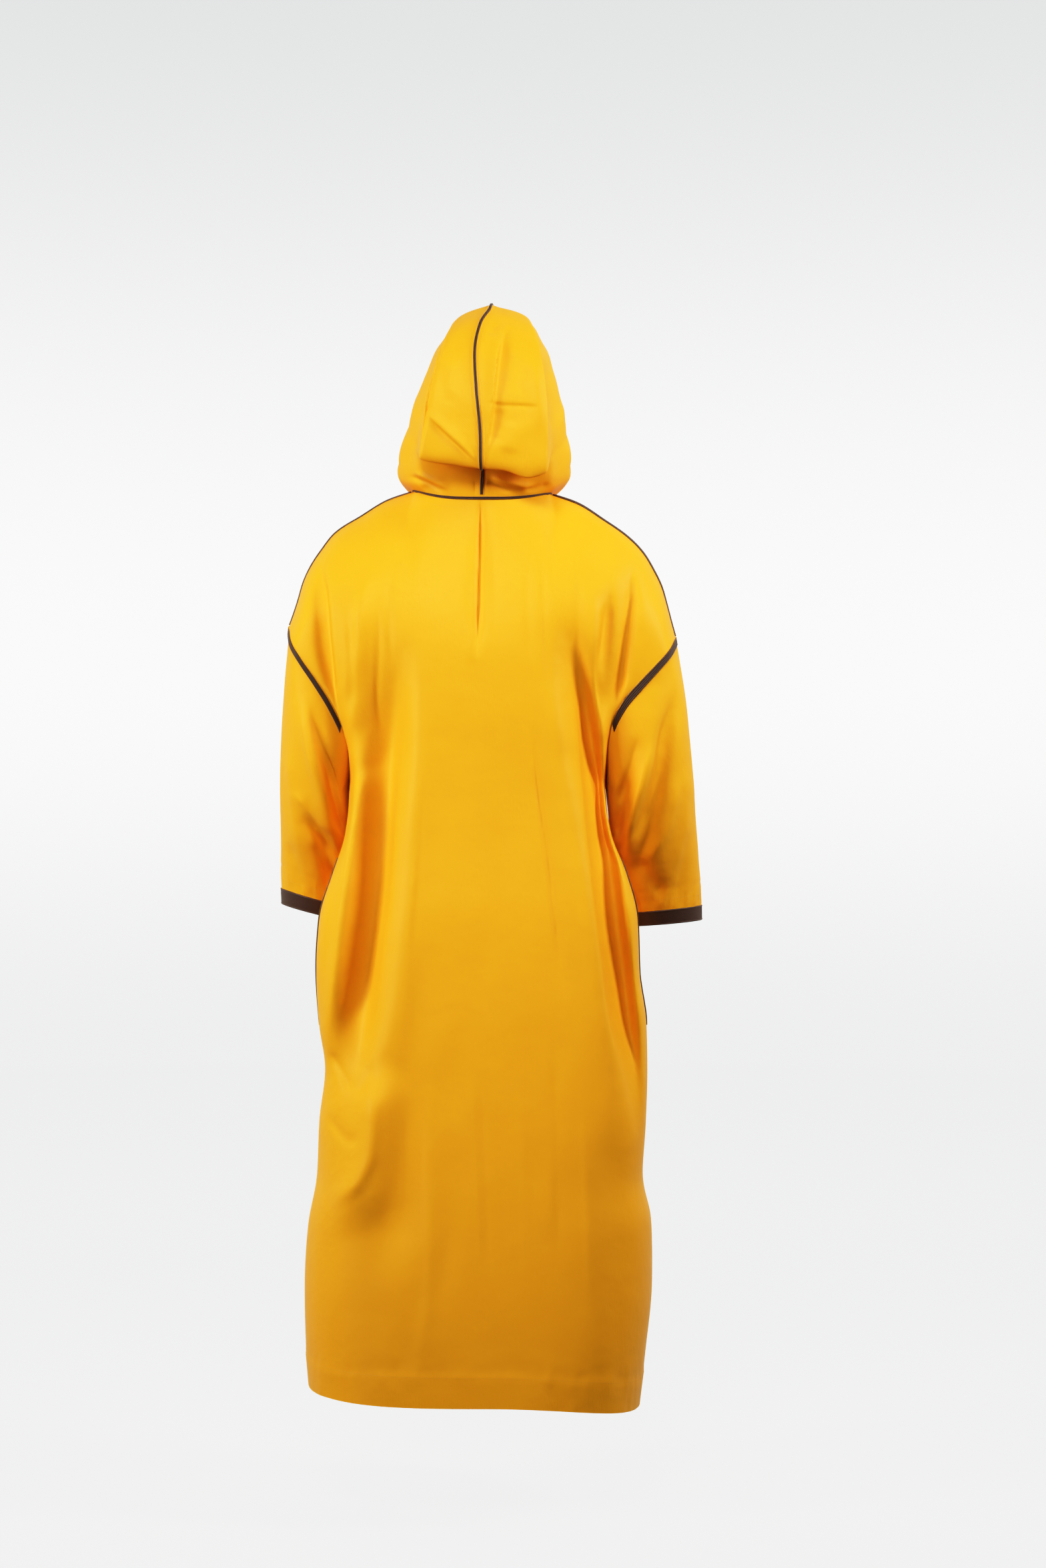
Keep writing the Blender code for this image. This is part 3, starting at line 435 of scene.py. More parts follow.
def each_fold(folds):
    """The rows of a table of folds, one at a time."""
    for number in range(len(folds["height"])):
        yield {name: column[number] for name, column in folds.items()}


# The body of the robe
def shoulder_line(face, share):
    """Depth and height of a panel's top edge: the neckline, then the shoulder seam."""
    left = share >= 0
    across = np.abs(share)
    neck = np.clip(across / NECK_SHARE, 0.0, 1.0)
    outer = np.clip((across - NECK_SHARE) / (1.0 - NECK_SHARE), 0.0, 1.0)
    seam_z = np.where(left, read(SHOULDER, "left_z", across), read(SHOULDER, "right_z", across))
    seam_y = np.where(left, *SHOULDER_SEAM_BACK) * np.sin(math.pi * outer)
    corner_z = np.where(left, *NECK_CORNER_Z)
    middle_z = LEVELS[face + "_z"][0]
    bend = 3.0 if face == "back" else 2.2
    neck_z = middle_z + (corner_z - middle_z) * neck**bend
    neck_depth = NECK_BACK_DEPTH if face == "back" else -NECK_FRONT_DEPTH
    neck_y = neck_depth * np.sqrt(np.maximum(1.0 - neck**2, 0.0))
    on_neck = across < NECK_SHARE
    return np.where(on_neck, neck_y, seam_y), np.where(on_neck, neck_z, seam_z)


def fold_depth(folds, x, z):
    """How far the folds of a panel stand out at (x, z)."""
    depth = np.zeros_like(x)
    for fold in each_fold(folds):
        part = (fold["top_z"] - z) / (fold["top_z"] - fold["low_z"])
        inside = np.clip(part, 0.0, 1.0)
        ends = step(0.0, 0.25, part) * step(1.0, 0.7, part)
        middle = 4.0 * inside * (1.0 - inside)
        chord = fold["top_x"] + (fold["low_x"] - fold["top_x"]) * inside
        line_x = chord + middle * (fold["middle_x"] - 0.5 * (fold["top_x"] + fold["low_x"]))
        reach = np.where(x > line_x, fold["to_left"], fold["to_right"])
        depth += fold["height"] * ends * bell((x - line_x) / reach)
    return depth


def body(face, share, level):
    """Points of the back or the front panel."""
    share, level = np.broadcast_arrays(np.asarray(share, dtype=float), np.asarray(level, dtype=float))
    back = face == "back"
    left = share >= 0
    across = np.abs(share)
    edge_x = np.where(left, read(LEVELS, "left_x", level), read(LEVELS, "right_x", level))
    edge_z = np.where(left, read(LEVELS, "left_z", level), read(LEVELS, "right_z", level))
    middle_y, middle_z = read(LEVELS, face + "_y", level), read(LEVELS, face + "_z", level)
    down_slit = (level - SLIT_TOP_LEVEL) / (SLIT_LOW_LEVEL - SLIT_TOP_LEVEL)
    gape = np.sin(math.pi * np.clip(down_slit, 0.0, 1.0))
    edge_y = np.where(
        level < UNDERARM_LEVEL,
        read(ARMHOLE_EDGE, face + "_y", level),
        read(SIDE_SEAM, "y", level) + (SLIT_GAPE if back else -SLIT_GAPE) * gape,
    )
    x = share * edge_x

    # height: the top keeps the shoulders' line, lower levels hang in a soft curve
    top_z = shoulder_line(face, share)[1]
    top_edge_z = np.where(left, LEVELS["left_z"][0], LEVELS["right_z"][0])
    top_middle_z = LEVELS[face + "_z"][0]
    like_shoulder = (top_z - top_middle_z) / (top_edge_z - top_middle_z)
    hanging = across**HANGING_POWER
    sag = like_shoulder + (hanging - like_shoulder) * np.clip(level / HANGING_LEVEL, 0.0, 1.0)
    z = middle_z + (edge_z - middle_z) * sag

    # depth: a rounded section, which closes up to the shoulders' line at the top
    if back:
        roundness = 1.0 + 2.6 * step(4.0, 9.0, level) - 1.2 * step(14.0, 18.0, level)
    else:
        roundness = 1.0 + 0.5 * step(4.0, 8.0, level) + 0.5 * step(11.0, 15.0, level)
    squareness = 3.0 + (0.6 if back else -0.5) * step(4.0, 9.0, level)
    crown = np.maximum(1.0 - across**squareness, 0.0) ** (1.0 / roundness)
    full_y = edge_y + (middle_y - edge_y) * crown
    line_y, line_z = shoulder_line(face, np.clip(x / np.where(left, *EDGE_X), -1.0, 1.0))
    reach = FULL_REACH[0] + (FULL_REACH[1] - FULL_REACH[0]) * across**2
    drop = np.clip((line_z - z) / reach, 0.0, 1.0)
    closed = np.sqrt(np.maximum(1.0 - (1.0 - drop) ** 2, 0.0))
    y = line_y + (full_y - line_y) * closed

    folds = fold_depth(BACK_FOLDS if back else FRONT_FOLDS, x, z)
    folds *= step(0.0, 0.06, 1.0 - across) * step(0.0, 1.0, level)
    y = y + (folds if back else -folds)
    return np.stack([x, y, z], axis=-1)


# The sleeves
def armhole(side, turn):
    """Points of an armhole, once round: down the back panel's edge and up the front's."""
    behind = turn <= 0.5
    level = UNDERARM_LEVEL * np.where(behind, 2.0 * turn, 2.0 - 2.0 * turn)
    return np.where(behind[..., None], body("back", side, level), body("front", side, level))


def sleeve_section(side, turn, run):
    """The plain oval of a sleeve at each run."""
    at = {name: read(SLEEVES[side], name, run) for name in SLEEVE_COLUMNS.split()[1:]}
    outer = np.stack([side * at["outer_x"], at["middle_y"], at["outer_z"]], axis=-1)
    inner = np.stack([side * at["inner_x"], at["middle_y"], at["inner_z"]], axis=-1)
    angle = 2.0 * math.pi * turn[..., None]
    depth = np.stack([np.zeros_like(run), at["half_y"], np.zeros_like(run)], axis=-1)
    return 0.5 * (outer + inner) + 0.5 * (outer - inner) * np.cos(angle) + depth * np.sin(angle)


def sleeve(side, turn, run):
    """Points of a sleeve: the armhole's own shape passes into the plain ovals."""
    turn, run = np.broadcast_arrays(np.asarray(turn, dtype=float), np.asarray(run, dtype=float))
    plain = sleeve_section(side, turn, run)
    start = sleeve_section(side, turn, np.zeros_like(run))
    fade = np.clip(1.0 - run / SLEEVE_BLEND, 0.0, 1.0) ** 2
    points = plain + (armhole(side, turn) - start) * fade[..., None]

    outer = sleeve_section(side, np.zeros_like(turn), run)
    inner = sleeve_section(side, np.full_like(turn, 0.5), run)
    out = unit(plain - 0.5 * (outer + inner))
    for fold in each_fold(SLEEVE_FOLDS[side]):
        part = (run - fold["top_run"]) / (fold["low_run"] - fold["top_run"])
        line = fold["top_turn"] + (fold["low_turn"] - fold["top_turn"]) * np.clip(part, 0.0, 1.0)
        ends = step(0.0, 0.3, part) * step(1.0, 0.7, part)
        shape = fold["height"] * ends * bell((turn - line) / fold["reach_turn"])
        points = points + out * shape[..., None]
    return points


def sleeve_length(side):
    """The mean length of a sleeve, from its armhole to its cuff."""
    outer = SLEEVES[side]["outer_z"][0] - SLEEVES[side]["outer_z"][-1]
    inner = SLEEVES[side]["inner_z"][0] - SLEEVES[side]["inner_z"][-1]
    return 0.5 * (outer + inner)


# The hood
def hood_lines(run):
    """The hood's six lines at each run, for a hood that stands straight: (run, line, xyz)."""
    centre_y, centre_z = read(HOOD_CENTRE, "y", run), read(HOOD_CENTRE, "z", run)
    edge = {name: read(HOOD_PEAK_EDGE, name, run) for name in ("x", "forward", "rise")}
    lines = [
        np.stack([np.zeros_like(run), centre_y, centre_z], axis=-1),
        np.stack([edge["x"], centre_y - edge["forward"], centre_z + edge["rise"]], axis=-1),
    ]
    for line in (HOOD_HOLLOW, HOOD_SIDE, HOOD_CHEEK, HOOD_THROAT):
        lines.append(np.stack([read(line, axis, run) for axis in "xyz"], axis=-1))
    return np.stack(lines, axis=1)


def hood(side, faces, runs):
    """Points of one half of the hood: rows along the runs, columns across its faces."""
    lines = hood_lines(runs)
    points = np.stack([[smooth(HOOD_STATIONS, axis, faces) for axis in line.T] for line in lines])
    points = points.transpose(0, 2, 1)
    x, y, z = side * points[..., 0], points[..., 1], points[..., 2]
    run = runs[:, None] + np.zeros_like(faces)[None, :]

    near_peak = bell((run - PEAK_EDGE_RUN) / PEAK_TILT_REACH) * step(9.0, 6.0, faces)[None, :]
    droop = PEAK_DROOP * bell((x - PEAK_DROOP_X) / PEAK_DROOP_REACH)
    z = z + (PEAK_TILT * x + droop) * near_peak
    risen = step(0.0, 0.1, run)
    wander = read(HOOD_SEAM, "x", run) * step(0.05, 0.28, run)
    x = x + HOOD_LEAN * np.maximum(z, 0.0) * risen + wander * step(6.0, 0.0, faces)[None, :]
    points = np.stack([x, y, z], axis=-1)

    off_seam = neck_seam(side, faces)[None, :, :] - points[:1]
    return points + off_seam * (1.0 - step(0.0, 0.3, run))[..., None]


# The fine surfaces: their columns and rows, the thickness of the shells made on them, and the
# points along the line of a crease
BACK_COLUMNS = 100
FRONT_COLUMNS = 66
BODY_ROWS = (70, 170)
SLEEVE_TURNS = 132
SLEEVE_ROWS = 100
HOOD_COLUMNS = 150
HOOD_ROWS = 200
CLOTH_SHELL = 0.0014
CREASE_SAMPLES = 48


def neck_angle(faces):
    """How far round the neck a place on the hood's lower edge is, from behind to in front."""
    steps = np.array([0.0, *NECK_STEPS])
    slit = 0.5 * FRONT_SLIT_WIDTH[0] / LEVELS["left_x"][0] / NECK_SHARE
    before = math.pi - np.arcsin(np.array([*NECK_STEPS[-2::-1], slit]))
    return smooth(HOOD_BACK_MEETS + HOOD_FRONT_MEETS, np.concatenate([np.arcsin(steps), before]), faces)


def neck_seam(side, faces):
    """The neck seam on one side, as a smooth line counted in hood faces from the back."""
    angle = neck_angle(faces)
    share = side * NECK_SHARE * np.sin(angle)
    back, front = body("back", share, 0.0), body("front", share, 0.0)
    return np.where((angle <= 0.5 * math.pi)[..., None], back, front)


def softened(points, passes):
    """The grid of points relaxed a little in its middle, with its borders kept."""
    points = points.copy()
    for _ in range(passes):
        mean = 0.25 * (points[2:, 1:-1] + points[:-2, 1:-1] + points[1:-1, 2:] + points[1:-1, :-2])
        points[1:-1, 1:-1] += 0.5 * (mean - points[1:-1, 1:-1])
    return points


def grid_normals(points, facing, wrap=False):
    """Outward normals of a grid of points."""
    if wrap:
        ring = np.concatenate([points[:, -2:-1], points, points[:, 1:2]], axis=1)
        across = np.gradient(ring, axis=1)[:, 1:-1]
    else:
        across = np.gradient(points, axis=1)
    return facing * unit(np.cross(across, np.gradient(points, axis=0)))


def crease_height(u, v, creases):
    """Height of creases laid on a plane: each is (height, reach to its left, reach to its right, how sharp,
    then the points of its line), its lengths in millimetres."""
    total = np.zeros_like(u)
    count = CREASE_SAMPLES
    for height, left, right, sharp, *path in creases:
        height, left, right, path = MM * height, MM * left, MM * right, MM * np.array(path, dtype=float)
        knots = arc(path)
        line = np.stack([smooth(knots, axis, np.linspace(0, knots[-1], count)) for axis in path.T], axis=-1)
        tangent = unit(np.gradient(line, axis=0))
        spacing = knots[-1] / (count - 1)
        margin = 3.0 * max(left, right)
        near = (u > line[:, 0].min() - margin) & (u < line[:, 0].max() + margin)
        near &= (v > line[:, 1].min() - margin) & (v < line[:, 1].max() + margin)
        if not near.any():
            continue
        du = u[near][:, None] - line[None, :, 0]
        dv = v[near][:, None] - line[None, :, 1]
        nearest = np.argmin(du**2 + dv**2, axis=1)
        pick = np.arange(len(nearest))
        du, dv = du[pick, nearest], dv[pick, nearest]
        along = du * tangent[nearest, 0] + dv * tangent[nearest, 1]
        off = tangent[nearest, 0] * dv - tangent[nearest, 1] * du
        part = (nearest + along / spacing) / (count - 1)
        reach = np.where(off > 0, left, right)
        ends = step(0.0, 0.28, part) * step(1.0, 0.72, part)
        total[near] += height * ends * np.exp(-((np.abs(off) / reach) ** sharp))
    return total


def ripple(points, size, seed, count=28):
    """A soft, even unevenness of the cloth, with waves of about one size; between -1 and 1."""
    rng = np.random.default_rng(seed)
    total = np.zeros(points.shape[:-1])
    for _ in range(count):
        direction = unit(rng.normal(size=3))
        wave = 2.0 * math.pi / (size * rng.uniform(0.7, 1.5))
        total += np.sin(points @ direction * wave + rng.uniform(0, 2 * math.pi))
    return total / math.sqrt(2.0 * count)


# Creases of the back, from behind: x to the left, z up
BACK_CREASES = [
    # under the neck: the pressed furrow and the two ridges that part below it
    (-5.8, 2.2, 7, 1.4, (2, 30), (3, -70), (5, -150), (6, -250)),
    (2.6, 7, 10, 1.7, (12, -130), (16, -180), (12, -260)),
    (-3, 4, 6, 1.6, (22, -130), (14, -190), (8, -250)),
    (-1.6, 6, 8, 1.6, (-12, -30), (-10, -120), (-14, -220), (-16, -300)),
    # fine hanging lines over the shoulder blades
    (-2.4, 4, 6, 1.6, (160, -130), (156, -220), (158, -300), (150, -370)),
    (-2, 4, 6, 1.6, (136, -100), (140, -180), (136, -260)),
    (2, 8, 6, 1.7, (208, -160), (204, -250), (207, -330)),
    (-2, 5, 8, 1.6, (-90, -70), (-94, -150), (-98, -240), (-108, -320)),
    (-1.8, 4, 6, 1.6, (-68, -100), (-70, -180), (-74, -260)),
    (-2.2, 4, 6, 1.6, (-150, -100), (-146, -170), (-142, -250)),
    # left shoulder and shoulder blade
    (-8.5, 10, 4, 1.5, (254, -75), (241, -135), (232, -222), (221, -320), (210, -390)),
    (3.5, 10, 12, 1.8, (164, -90), (183, -175), (194, -300)),
    (-3.5, 10, 12, 1.8, (196, -180), (194, -250), (200, -340)),
    # the long left furrow with a ridge at each side
    (4, 9, 8, 1.7, (118, -300), (122, -420), (130, -560), (141, -660), (155, -760), (170, -840)),
    (-2.2, 8, 8, 1.8, (85, -400), (92, -560), (104, -720)),
    # left, over the knee: short pulls to the side
    (-4, 5, 12, 1.5, (233, -836), (212, -868), (193, -902)),
    (-3, 10, 5, 1.5, (190, -905), (176, -880), (160, -850)),
    (-3, 6, 12, 1.6, (236, -930), (214, -958), (196, -970), (180, -950)),
    (6, 16, 8, 1.7, (170, -870), (160, -925), (162, -980), (176, -1020), (199, -1048), (232, -1068)),
    (2.2, 5, 12, 1.6, (82, -870), (79, -1020), (78, -1160), (90, -1270), (108, -1345)),
    (-1.4, 12, 16, 1.8, (50, -950), (46, -1080), (52, -1220)),
    # the long right ridge, the furrow outside it and its folds
    (6, 12, 8, 1.7, (-108, -160), (-118, -205), (-133, -290), (-148, -460), (-158.5, -570),
     (-170, -674), (-188, -800), (-211, -887), (-226, -955), (-238, -1006)),
    (-3.4, 3, 7, 1.5, (-72, -330), (-84, -440), (-101, -560), (-112, -660), (-128, -780)),
    (2.2, 5, 5, 1.6, (-174, -150), (-178, -220), (-184, -300)),
    (-6, 7, 10, 1.6, (-200, -120), (-188, -200), (-178, -270), (-186, -360)),
    (-8, 4, 10, 1.5, (-229, -90), (-225, -150), (-216, -220), (-206, -310), (-198, -380)),
    (-2.4, 22, 26, 2, (-186, -900), (-200, -1040), (-206, -1180), (-200, -1300)),
    (1.8, 6, 10, 1.7, (-148, -900), (-158, -1050), (-162, -1240)),
    (-1.4, 8, 12, 1.8, (-108, -720), (-114, -950), (-116, -1200)),
    (1.4, 5, 9, 1.7, (-48, -800), (-62, -1000), (-68, -1200)),
    # pressed lines down the middle of the skirt
    (-0.7, 4, 4, 1.5, (3, -840), (-6, -1000), (-16, -1220)),
    (1.2, 6, 6, 1.5, (14, -860), (6, -1020), (0, -1200)),
]
FRONT_CREASES = [
    (4.5, 12, 12, 1.7, (60, -140), (78, -300), (88, -460)),
    (-4.5, 10, 13, 1.6, (140, -180), (150, -360), (168, -560), (196, -800)),
    (4.5, 9, 12, 1.7, (112, -340), (124, -560), (148, -780), (176, -960)),
    (-3.5, 8, 9, 1.6, (228, -120), (218, -220), (206, -330)),
    (3.5, 7, 8, 1.6, (184, -220), (192, -400), (206, -580)),
    (-3.5, 18, 18, 1.9, (55, -580), (68, -900), (92, -1280)),
    (3.2, 14, 14, 1.8, (20, -700), (26, -980), (34, -1300)),
    (-4.5, 9, 9, 1.5, (226, -880), (196, -930), (170, -910)),
    (3, 10, 10, 1.6, (226, -1000), (190, -1050), (160, -990)),
    (-4, 22, 22, 2, (140, -980), (150, -1120), (168, -1280)),
    (5, 13, 9, 1.6, (-96, -180), (-122, -420), (-150, -700), (-190, -980)),
    (-5.5, 9, 13, 1.5, (-134, -200), (-152, -420), (-180, -640), (-212, -880)),
    (3.5, 6, 7, 1.6, (-168, -180), (-180, -380), (-200, -580)),
    (-4.5, 7, 7, 1.6, (-214, -120), (-204, -220), (-190, -330)),
    (-3, 18, 18, 1.9, (-45, -520), (-62, -860), (-82, -1240)),
    (2.8, 14, 14, 1.8, (-14, -640), (-22, -920), (-30, -1260)),
    (-3.5, 18, 24, 2, (-160, -950), (-176, -1120), (-180, -1280)),
    (-3, 7, 7, 1.6, (12, -300), (30, -360), (60, -400)),
    (-2.8, 7, 7, 1.6, (-12, -300), (-34, -370), (-70, -420)),
    (2.5, 8, 8, 1.7, (-55, -120), (-70, -240), (-80, -360)),
]
# Creases of the sleeves, seen from behind (x, z) and from in front
SLEEVE_BACK_CREASES = {
    LEFT: [
        (-6, 8, 10, 1.5, (262, -310), (240, -380), (214, -445), (204, -480)),
        (4, 8, 9, 1.6, (276, -300), (262, -380), (240, -450), (222, -500)),
        (-7, 10, 12, 1.5, (278, -480), (250, -515), (218, -550), (205, -565)),
        (-5, 9, 9, 1.6, (262, -520), (246, -560), (232, -605)),
        (4.5, 8, 9, 1.6, (290, -440), (262, -475), (232, -515)),
        (3, 10, 10, 1.7, (296, -360), (290, -460), (276, -560)),
        (-2.5, 10, 10, 1.7, (300, -520), (290, -570), (282, -610)),
    ],
    RIGHT: [
        (-7, 9, 10, 1.5, (-296, -290), (-276, -370), (-268, -440), (-248, -490), (-212, -535)),
        (5, 8, 9, 1.6, (-262, -360), (-246, -420), (-228, -490), (-216, -540)),
        (-4, 7, 7, 1.6, (-236, -360), (-222, -420), (-208, -470)),
        (-5.5, 14, 14, 1.7, (-236, -545), (-262, -585), (-290, -610)),
        (4, 9, 9, 1.6, (-300, -420), (-284, -500), (-250, -560)),
        (3, 10, 12, 1.7, (-316, -400), (-312, -500), (-296, -580)),
        (-3, 10, 10, 1.7, (-316, -500), (-310, -560), (-300, -630)),
    ],
}
SLEEVE_FRONT_CREASES = {
    LEFT: [
        (-6, 10, 10, 1.6, (280, -260), (258, -360), (222, -440)),
        (4.5, 10, 10, 1.7, (294, -300), (276, -410), (240, -500)),
        (-5.5, 10, 10, 1.6, (294, -420), (268, -500), (230, -550)),
        (3.5, 10, 10, 1.7, (300, -480), (286, -550), (260, -600)),
    ],
    RIGHT: [
        (-6, 10, 10, 1.6, (-290, -270), (-266, -370), (-226, -460)),
        (4.5, 10, 10, 1.7, (-304, -320), (-286, -430), (-246, -520)),
        (-5.5, 10, 10, 1.6, (-312, -440), (-284, -520), (-240, -580)),
        (3.5, 10, 10, 1.7, (-322, -500), (-308, -570), (-280, -620)),
    ],
}
# Creases of the hood: on the folded peak and the collar from behind (x, z), on each side (y, z)
PEAK_CREASES = [
    # beside the seam: a raised strip that steps down to the right, all the way to the tip
    (8.5, 20, 2.2, 1.8, (-32, 268), (-30, 246), (-24, 209), (-17.5, 138), (-12, 95), (-3, 30)),
    (-2.2, 3, 12, 1.6, (-35, 250), (-29, 206), (-23, 150)),
    (-5, 3, 18, 1.6, (-21, 140), (-18, 112), (-11, 70)),
    (2, 14, 14, 2, (-50, 112), (-46, 85), (-40, 60)),
    # across: short creases at mid height
    (-2.6, 8, 2, 1.1, (0, 137.5), (-40, 135.5), (-94, 132.5)),
    (-2.2, 3, 4, 1.5, (98, 128), (88, 130), (76, 132)),
    (-2.2, 7, 7, 1.6, (-22, 268), (-18, 255), (-14, 242)),
    (-2.2, 6, 6, 1.6, (-44, 262), (-40, 250), (-34, 240)),
    # the ridge by the right edge and the furrow by the left one
    (3, 9, 9, 1.7, (-78, 220), (-84, 160), (-88, 85)),
    (2.6, 3, 12, 1.6, (46, 250), (63, 196), (74, 130), (86, 75), (92, 50)),
    (-3, 10, 4, 1.6, (54, 245), (72, 190), (84, 130), (96, 70)),
    # slanting pulls to the tip: the flap folded on itself
    (3.6, 2.4, 12, 1.6, (88, 130), (55, 96.5), (32, 75.5), (-6, 37)),
    (-2.6, 6, 2.4, 1.5, (82, 119), (53, 90), (30, 68.5), (2, 41)),
    (-2, 3, 3, 1.5, (17.5, 78), (9, 60), (0, 43)),
    (1.8, 4, 6, 1.6, (12, 80), (6, 62), (-1, 46)),
    # collar: folds that run down from the sides to the neck seam, and the hollow by the seam
    (-5.5, 3, 7, 1.5, (118, 40), (85, 24.5), (52, 4.5)),
    (5, 6, 4, 1.6, (108, 44), (78, 30), (46, 12)),
    (-4, 4, 5, 1.5, (96, 20), (78, 12), (62, 2)),
    (-5, 4, 6, 1.6, (-2, 26), (-18, 20), (-40, 11), (-56, 8)),
    (5, 6, 5, 1.6, (-10, 33), (-34, 26), (-62, 20), (-84, 23)),
    (-5, 4, 6, 1.6, (-62, 12), (-84, 14), (-108, 26)),
    (-2.2, 3, 3, 1.6, (10, 26), (9, 14), (10, 2)),
    (1.8, 12, 12, 1.8, (50, 210), (46, 170), (50, 140)),
]
SIDE_CREASES = {
    LEFT: [
        (-2, 8, 8, 1.6, (85, 75), (50, 88), (10, 112), (-30, 145)),
        (1.5, 9, 9, 1.7, (80, 105), (40, 122), (0, 150), (-35, 185)),
        (-1.8, 8, 8, 1.6, (40, 45), (0, 60), (-45, 90), (-75, 120)),
        (-1.5, 9, 10, 1.7, (60, 160), (30, 190), (-10, 215)),
        (1.3, 9, 10, 1.7, (20, 30), (-30, 50), (-70, 80)),
    ],
    RIGHT: [
        (-2, 8, 8, 1.6, (90, 55), (50, 72), (10, 100), (-30, 135)),
        (1.5, 9, 9, 1.7, (85, 90), (45, 112), (0, 142), (-35, 172)),
        (-1.8, 8, 8, 1.6, (35, 40), (-5, 58), (-48, 88), (-75, 112)),
        (-1.4, 9, 10, 1.7, (62, 172), (28, 198), (-12, 222)),
        (1.3, 9, 10, 1.7, (20, 28), (-30, 46), (-70, 74)),
    ],
}

# The turned-up hem, its thickness, the groove of a row of stitches (depth, half width), and how
# far the rows of stitches lie from their edges or seams
HEM_DEPTH = 0.048
HEM_STEP = 0.0010
HEM_GROOVE = (0.0007, 0.0012)
CUFF_GROOVE = (0.0006, 0.0014)
HEM_STITCHES = HEM_DEPTH - 0.003
CUFF_STITCHES = 0.025
NECK_STITCHES = 0.015
SEAM_STITCHES = 0.008
FACE_STITCHES = 0.012

# How many times the panels' and the hood's points are relaxed, and how far from the panels'
# borders their creases reach full height
BODY_PASSES, HOOD_PASSES = 10, 20
BORDER_REACH = 0.020

# Unevenness of the cloth, as uneven() reads it
PANEL_RIPPLES = ((0.0006, 0.060, 0.45, 3), (0.0011, 0.140, 0.30, 13))
HEM_PUCKERS = ((0.0007, 0.022, 0.25, 31),)
SLEEVE_RIPPLES = ((0.0006, 0.050, 0.5, 50), (0.0010, 0.110, 0.4, 60))
CUFF_GATHERS = ((0.0009, 0.011, 0.12, 70),)
HOOD_RIPPLES = ((0.0006, 0.045, 1.0, 90),)


def uneven(points, seed, rows):
    """The sum of some ripples over a grid: for each its height, its size, the share of their own
    height that the points keep, which draws it out downward, and what is added to the seed."""
    return sum(
        height * ripple(points * np.array([1.0, 1.0, keep]), size, seed + more)
        for height, size, keep, more in rows
    )


def body_levels():
    """The levels of the fine rows, above the underarm and below it."""
    upper = np.linspace(0.0, UNDERARM_LEVEL, BODY_ROWS[0] + 1)
    lower = np.linspace(UNDERARM_LEVEL, HEM_LEVEL, BODY_ROWS[1] + 1)
    return np.concatenate([upper, lower[1:]])


def fine_shares(levels, count):
    """Fine columns of half a panel, closer together at the middle, near the neck's corner and
    at the edge, and fanned out below the neck."""
    at_neck = count // 3
    part = np.linspace(0.0, 1.0, at_neck + 1)
    neck = NECK_SHARE * (part - 0.7 * np.sin(2.0 * math.pi * part) / (2.0 * math.pi))
    outer = np.sin(np.linspace(math.asin(NECK_SHARE), 0.5 * math.pi, count - at_neck + 1))[1:]
    shares = np.concatenate([neck, outer])[None, :]
    fan = COLUMN_FAN * step(0.0, COLUMN_FAN_LEVELS, levels)[:, None]
    return shares + fan * shares * (1.0 - shares)


def at_border(points, reach):
    """0 on the top and side borders of a grid, 1 beyond a reach from them."""
    down, across = strides(points, 0).cumsum(axis=0), strides(points, 1).cumsum(axis=1)
    right = across[:, -1:] - across
    return step(0.0, reach, down) * step(0.0, reach, across) * step(0.0, reach, right)


def groove(off, depth, half_width):
    """How deep the groove of a row of stitches is, at a distance from it."""
    return depth * bell(off / half_width)


def hem_relief(points, normals, seed):
    """The turned-up hem: a stitched step across the cloth, with small puckers along it."""
    above = points[..., 2] - points[-1:, :, 2]
    double = step(HEM_DEPTH + 0.0015, HEM_DEPTH - 0.0015, above)
    near = bell((above - HEM_DEPTH) / 0.014) + 0.35 * step(HEM_DEPTH, 0.0, above)
    relief = HEM_STEP * double + uneven(points, seed, HEM_PUCKERS) * near
    relief -= groove(above - HEM_STITCHES, *HEM_GROOVE)
    return points + relief[..., None] * normals


def panel_grid(face):
    """The finished points and normals of the back or the front panel."""
    levels = body_levels()
    half = fine_shares(levels, BACK_COLUMNS if face == "back" else FRONT_COLUMNS)
    if face == "back":
        facing, creases = 1, BACK_CREASES
        shares = np.concatenate([-half[:, :0:-1], half], axis=1)
    else:
        facing, creases = -1, FRONT_CREASES
        open_part = np.clip(1.0 - levels / FRONT_SLIT_LEVELS, 0.0, 1.0)
        width = FRONT_SLIT_WIDTH[1] + (FRONT_SLIT_WIDTH[0] - FRONT_SLIT_WIDTH[1]) * open_part
        slit = (0.5 * width / read(LEVELS, "left_x", levels))[:, None]
        shares = np.concatenate([-half[:, :0:-1], -slit, slit, half[:, 1:]], axis=1)
    points = softened(body(face, shares, levels[:, None]), BODY_PASSES)
    normals = grid_normals(points, facing)
    height = crease_height(points[..., 0], points[..., 2], creases)
    height = (height + uneven(points, facing, PANEL_RIPPLES)) * at_border(points, BORDER_REACH)
    points = hem_relief(points + height[..., None] * normals, normals, facing)
    return points, grid_normals(points, facing)


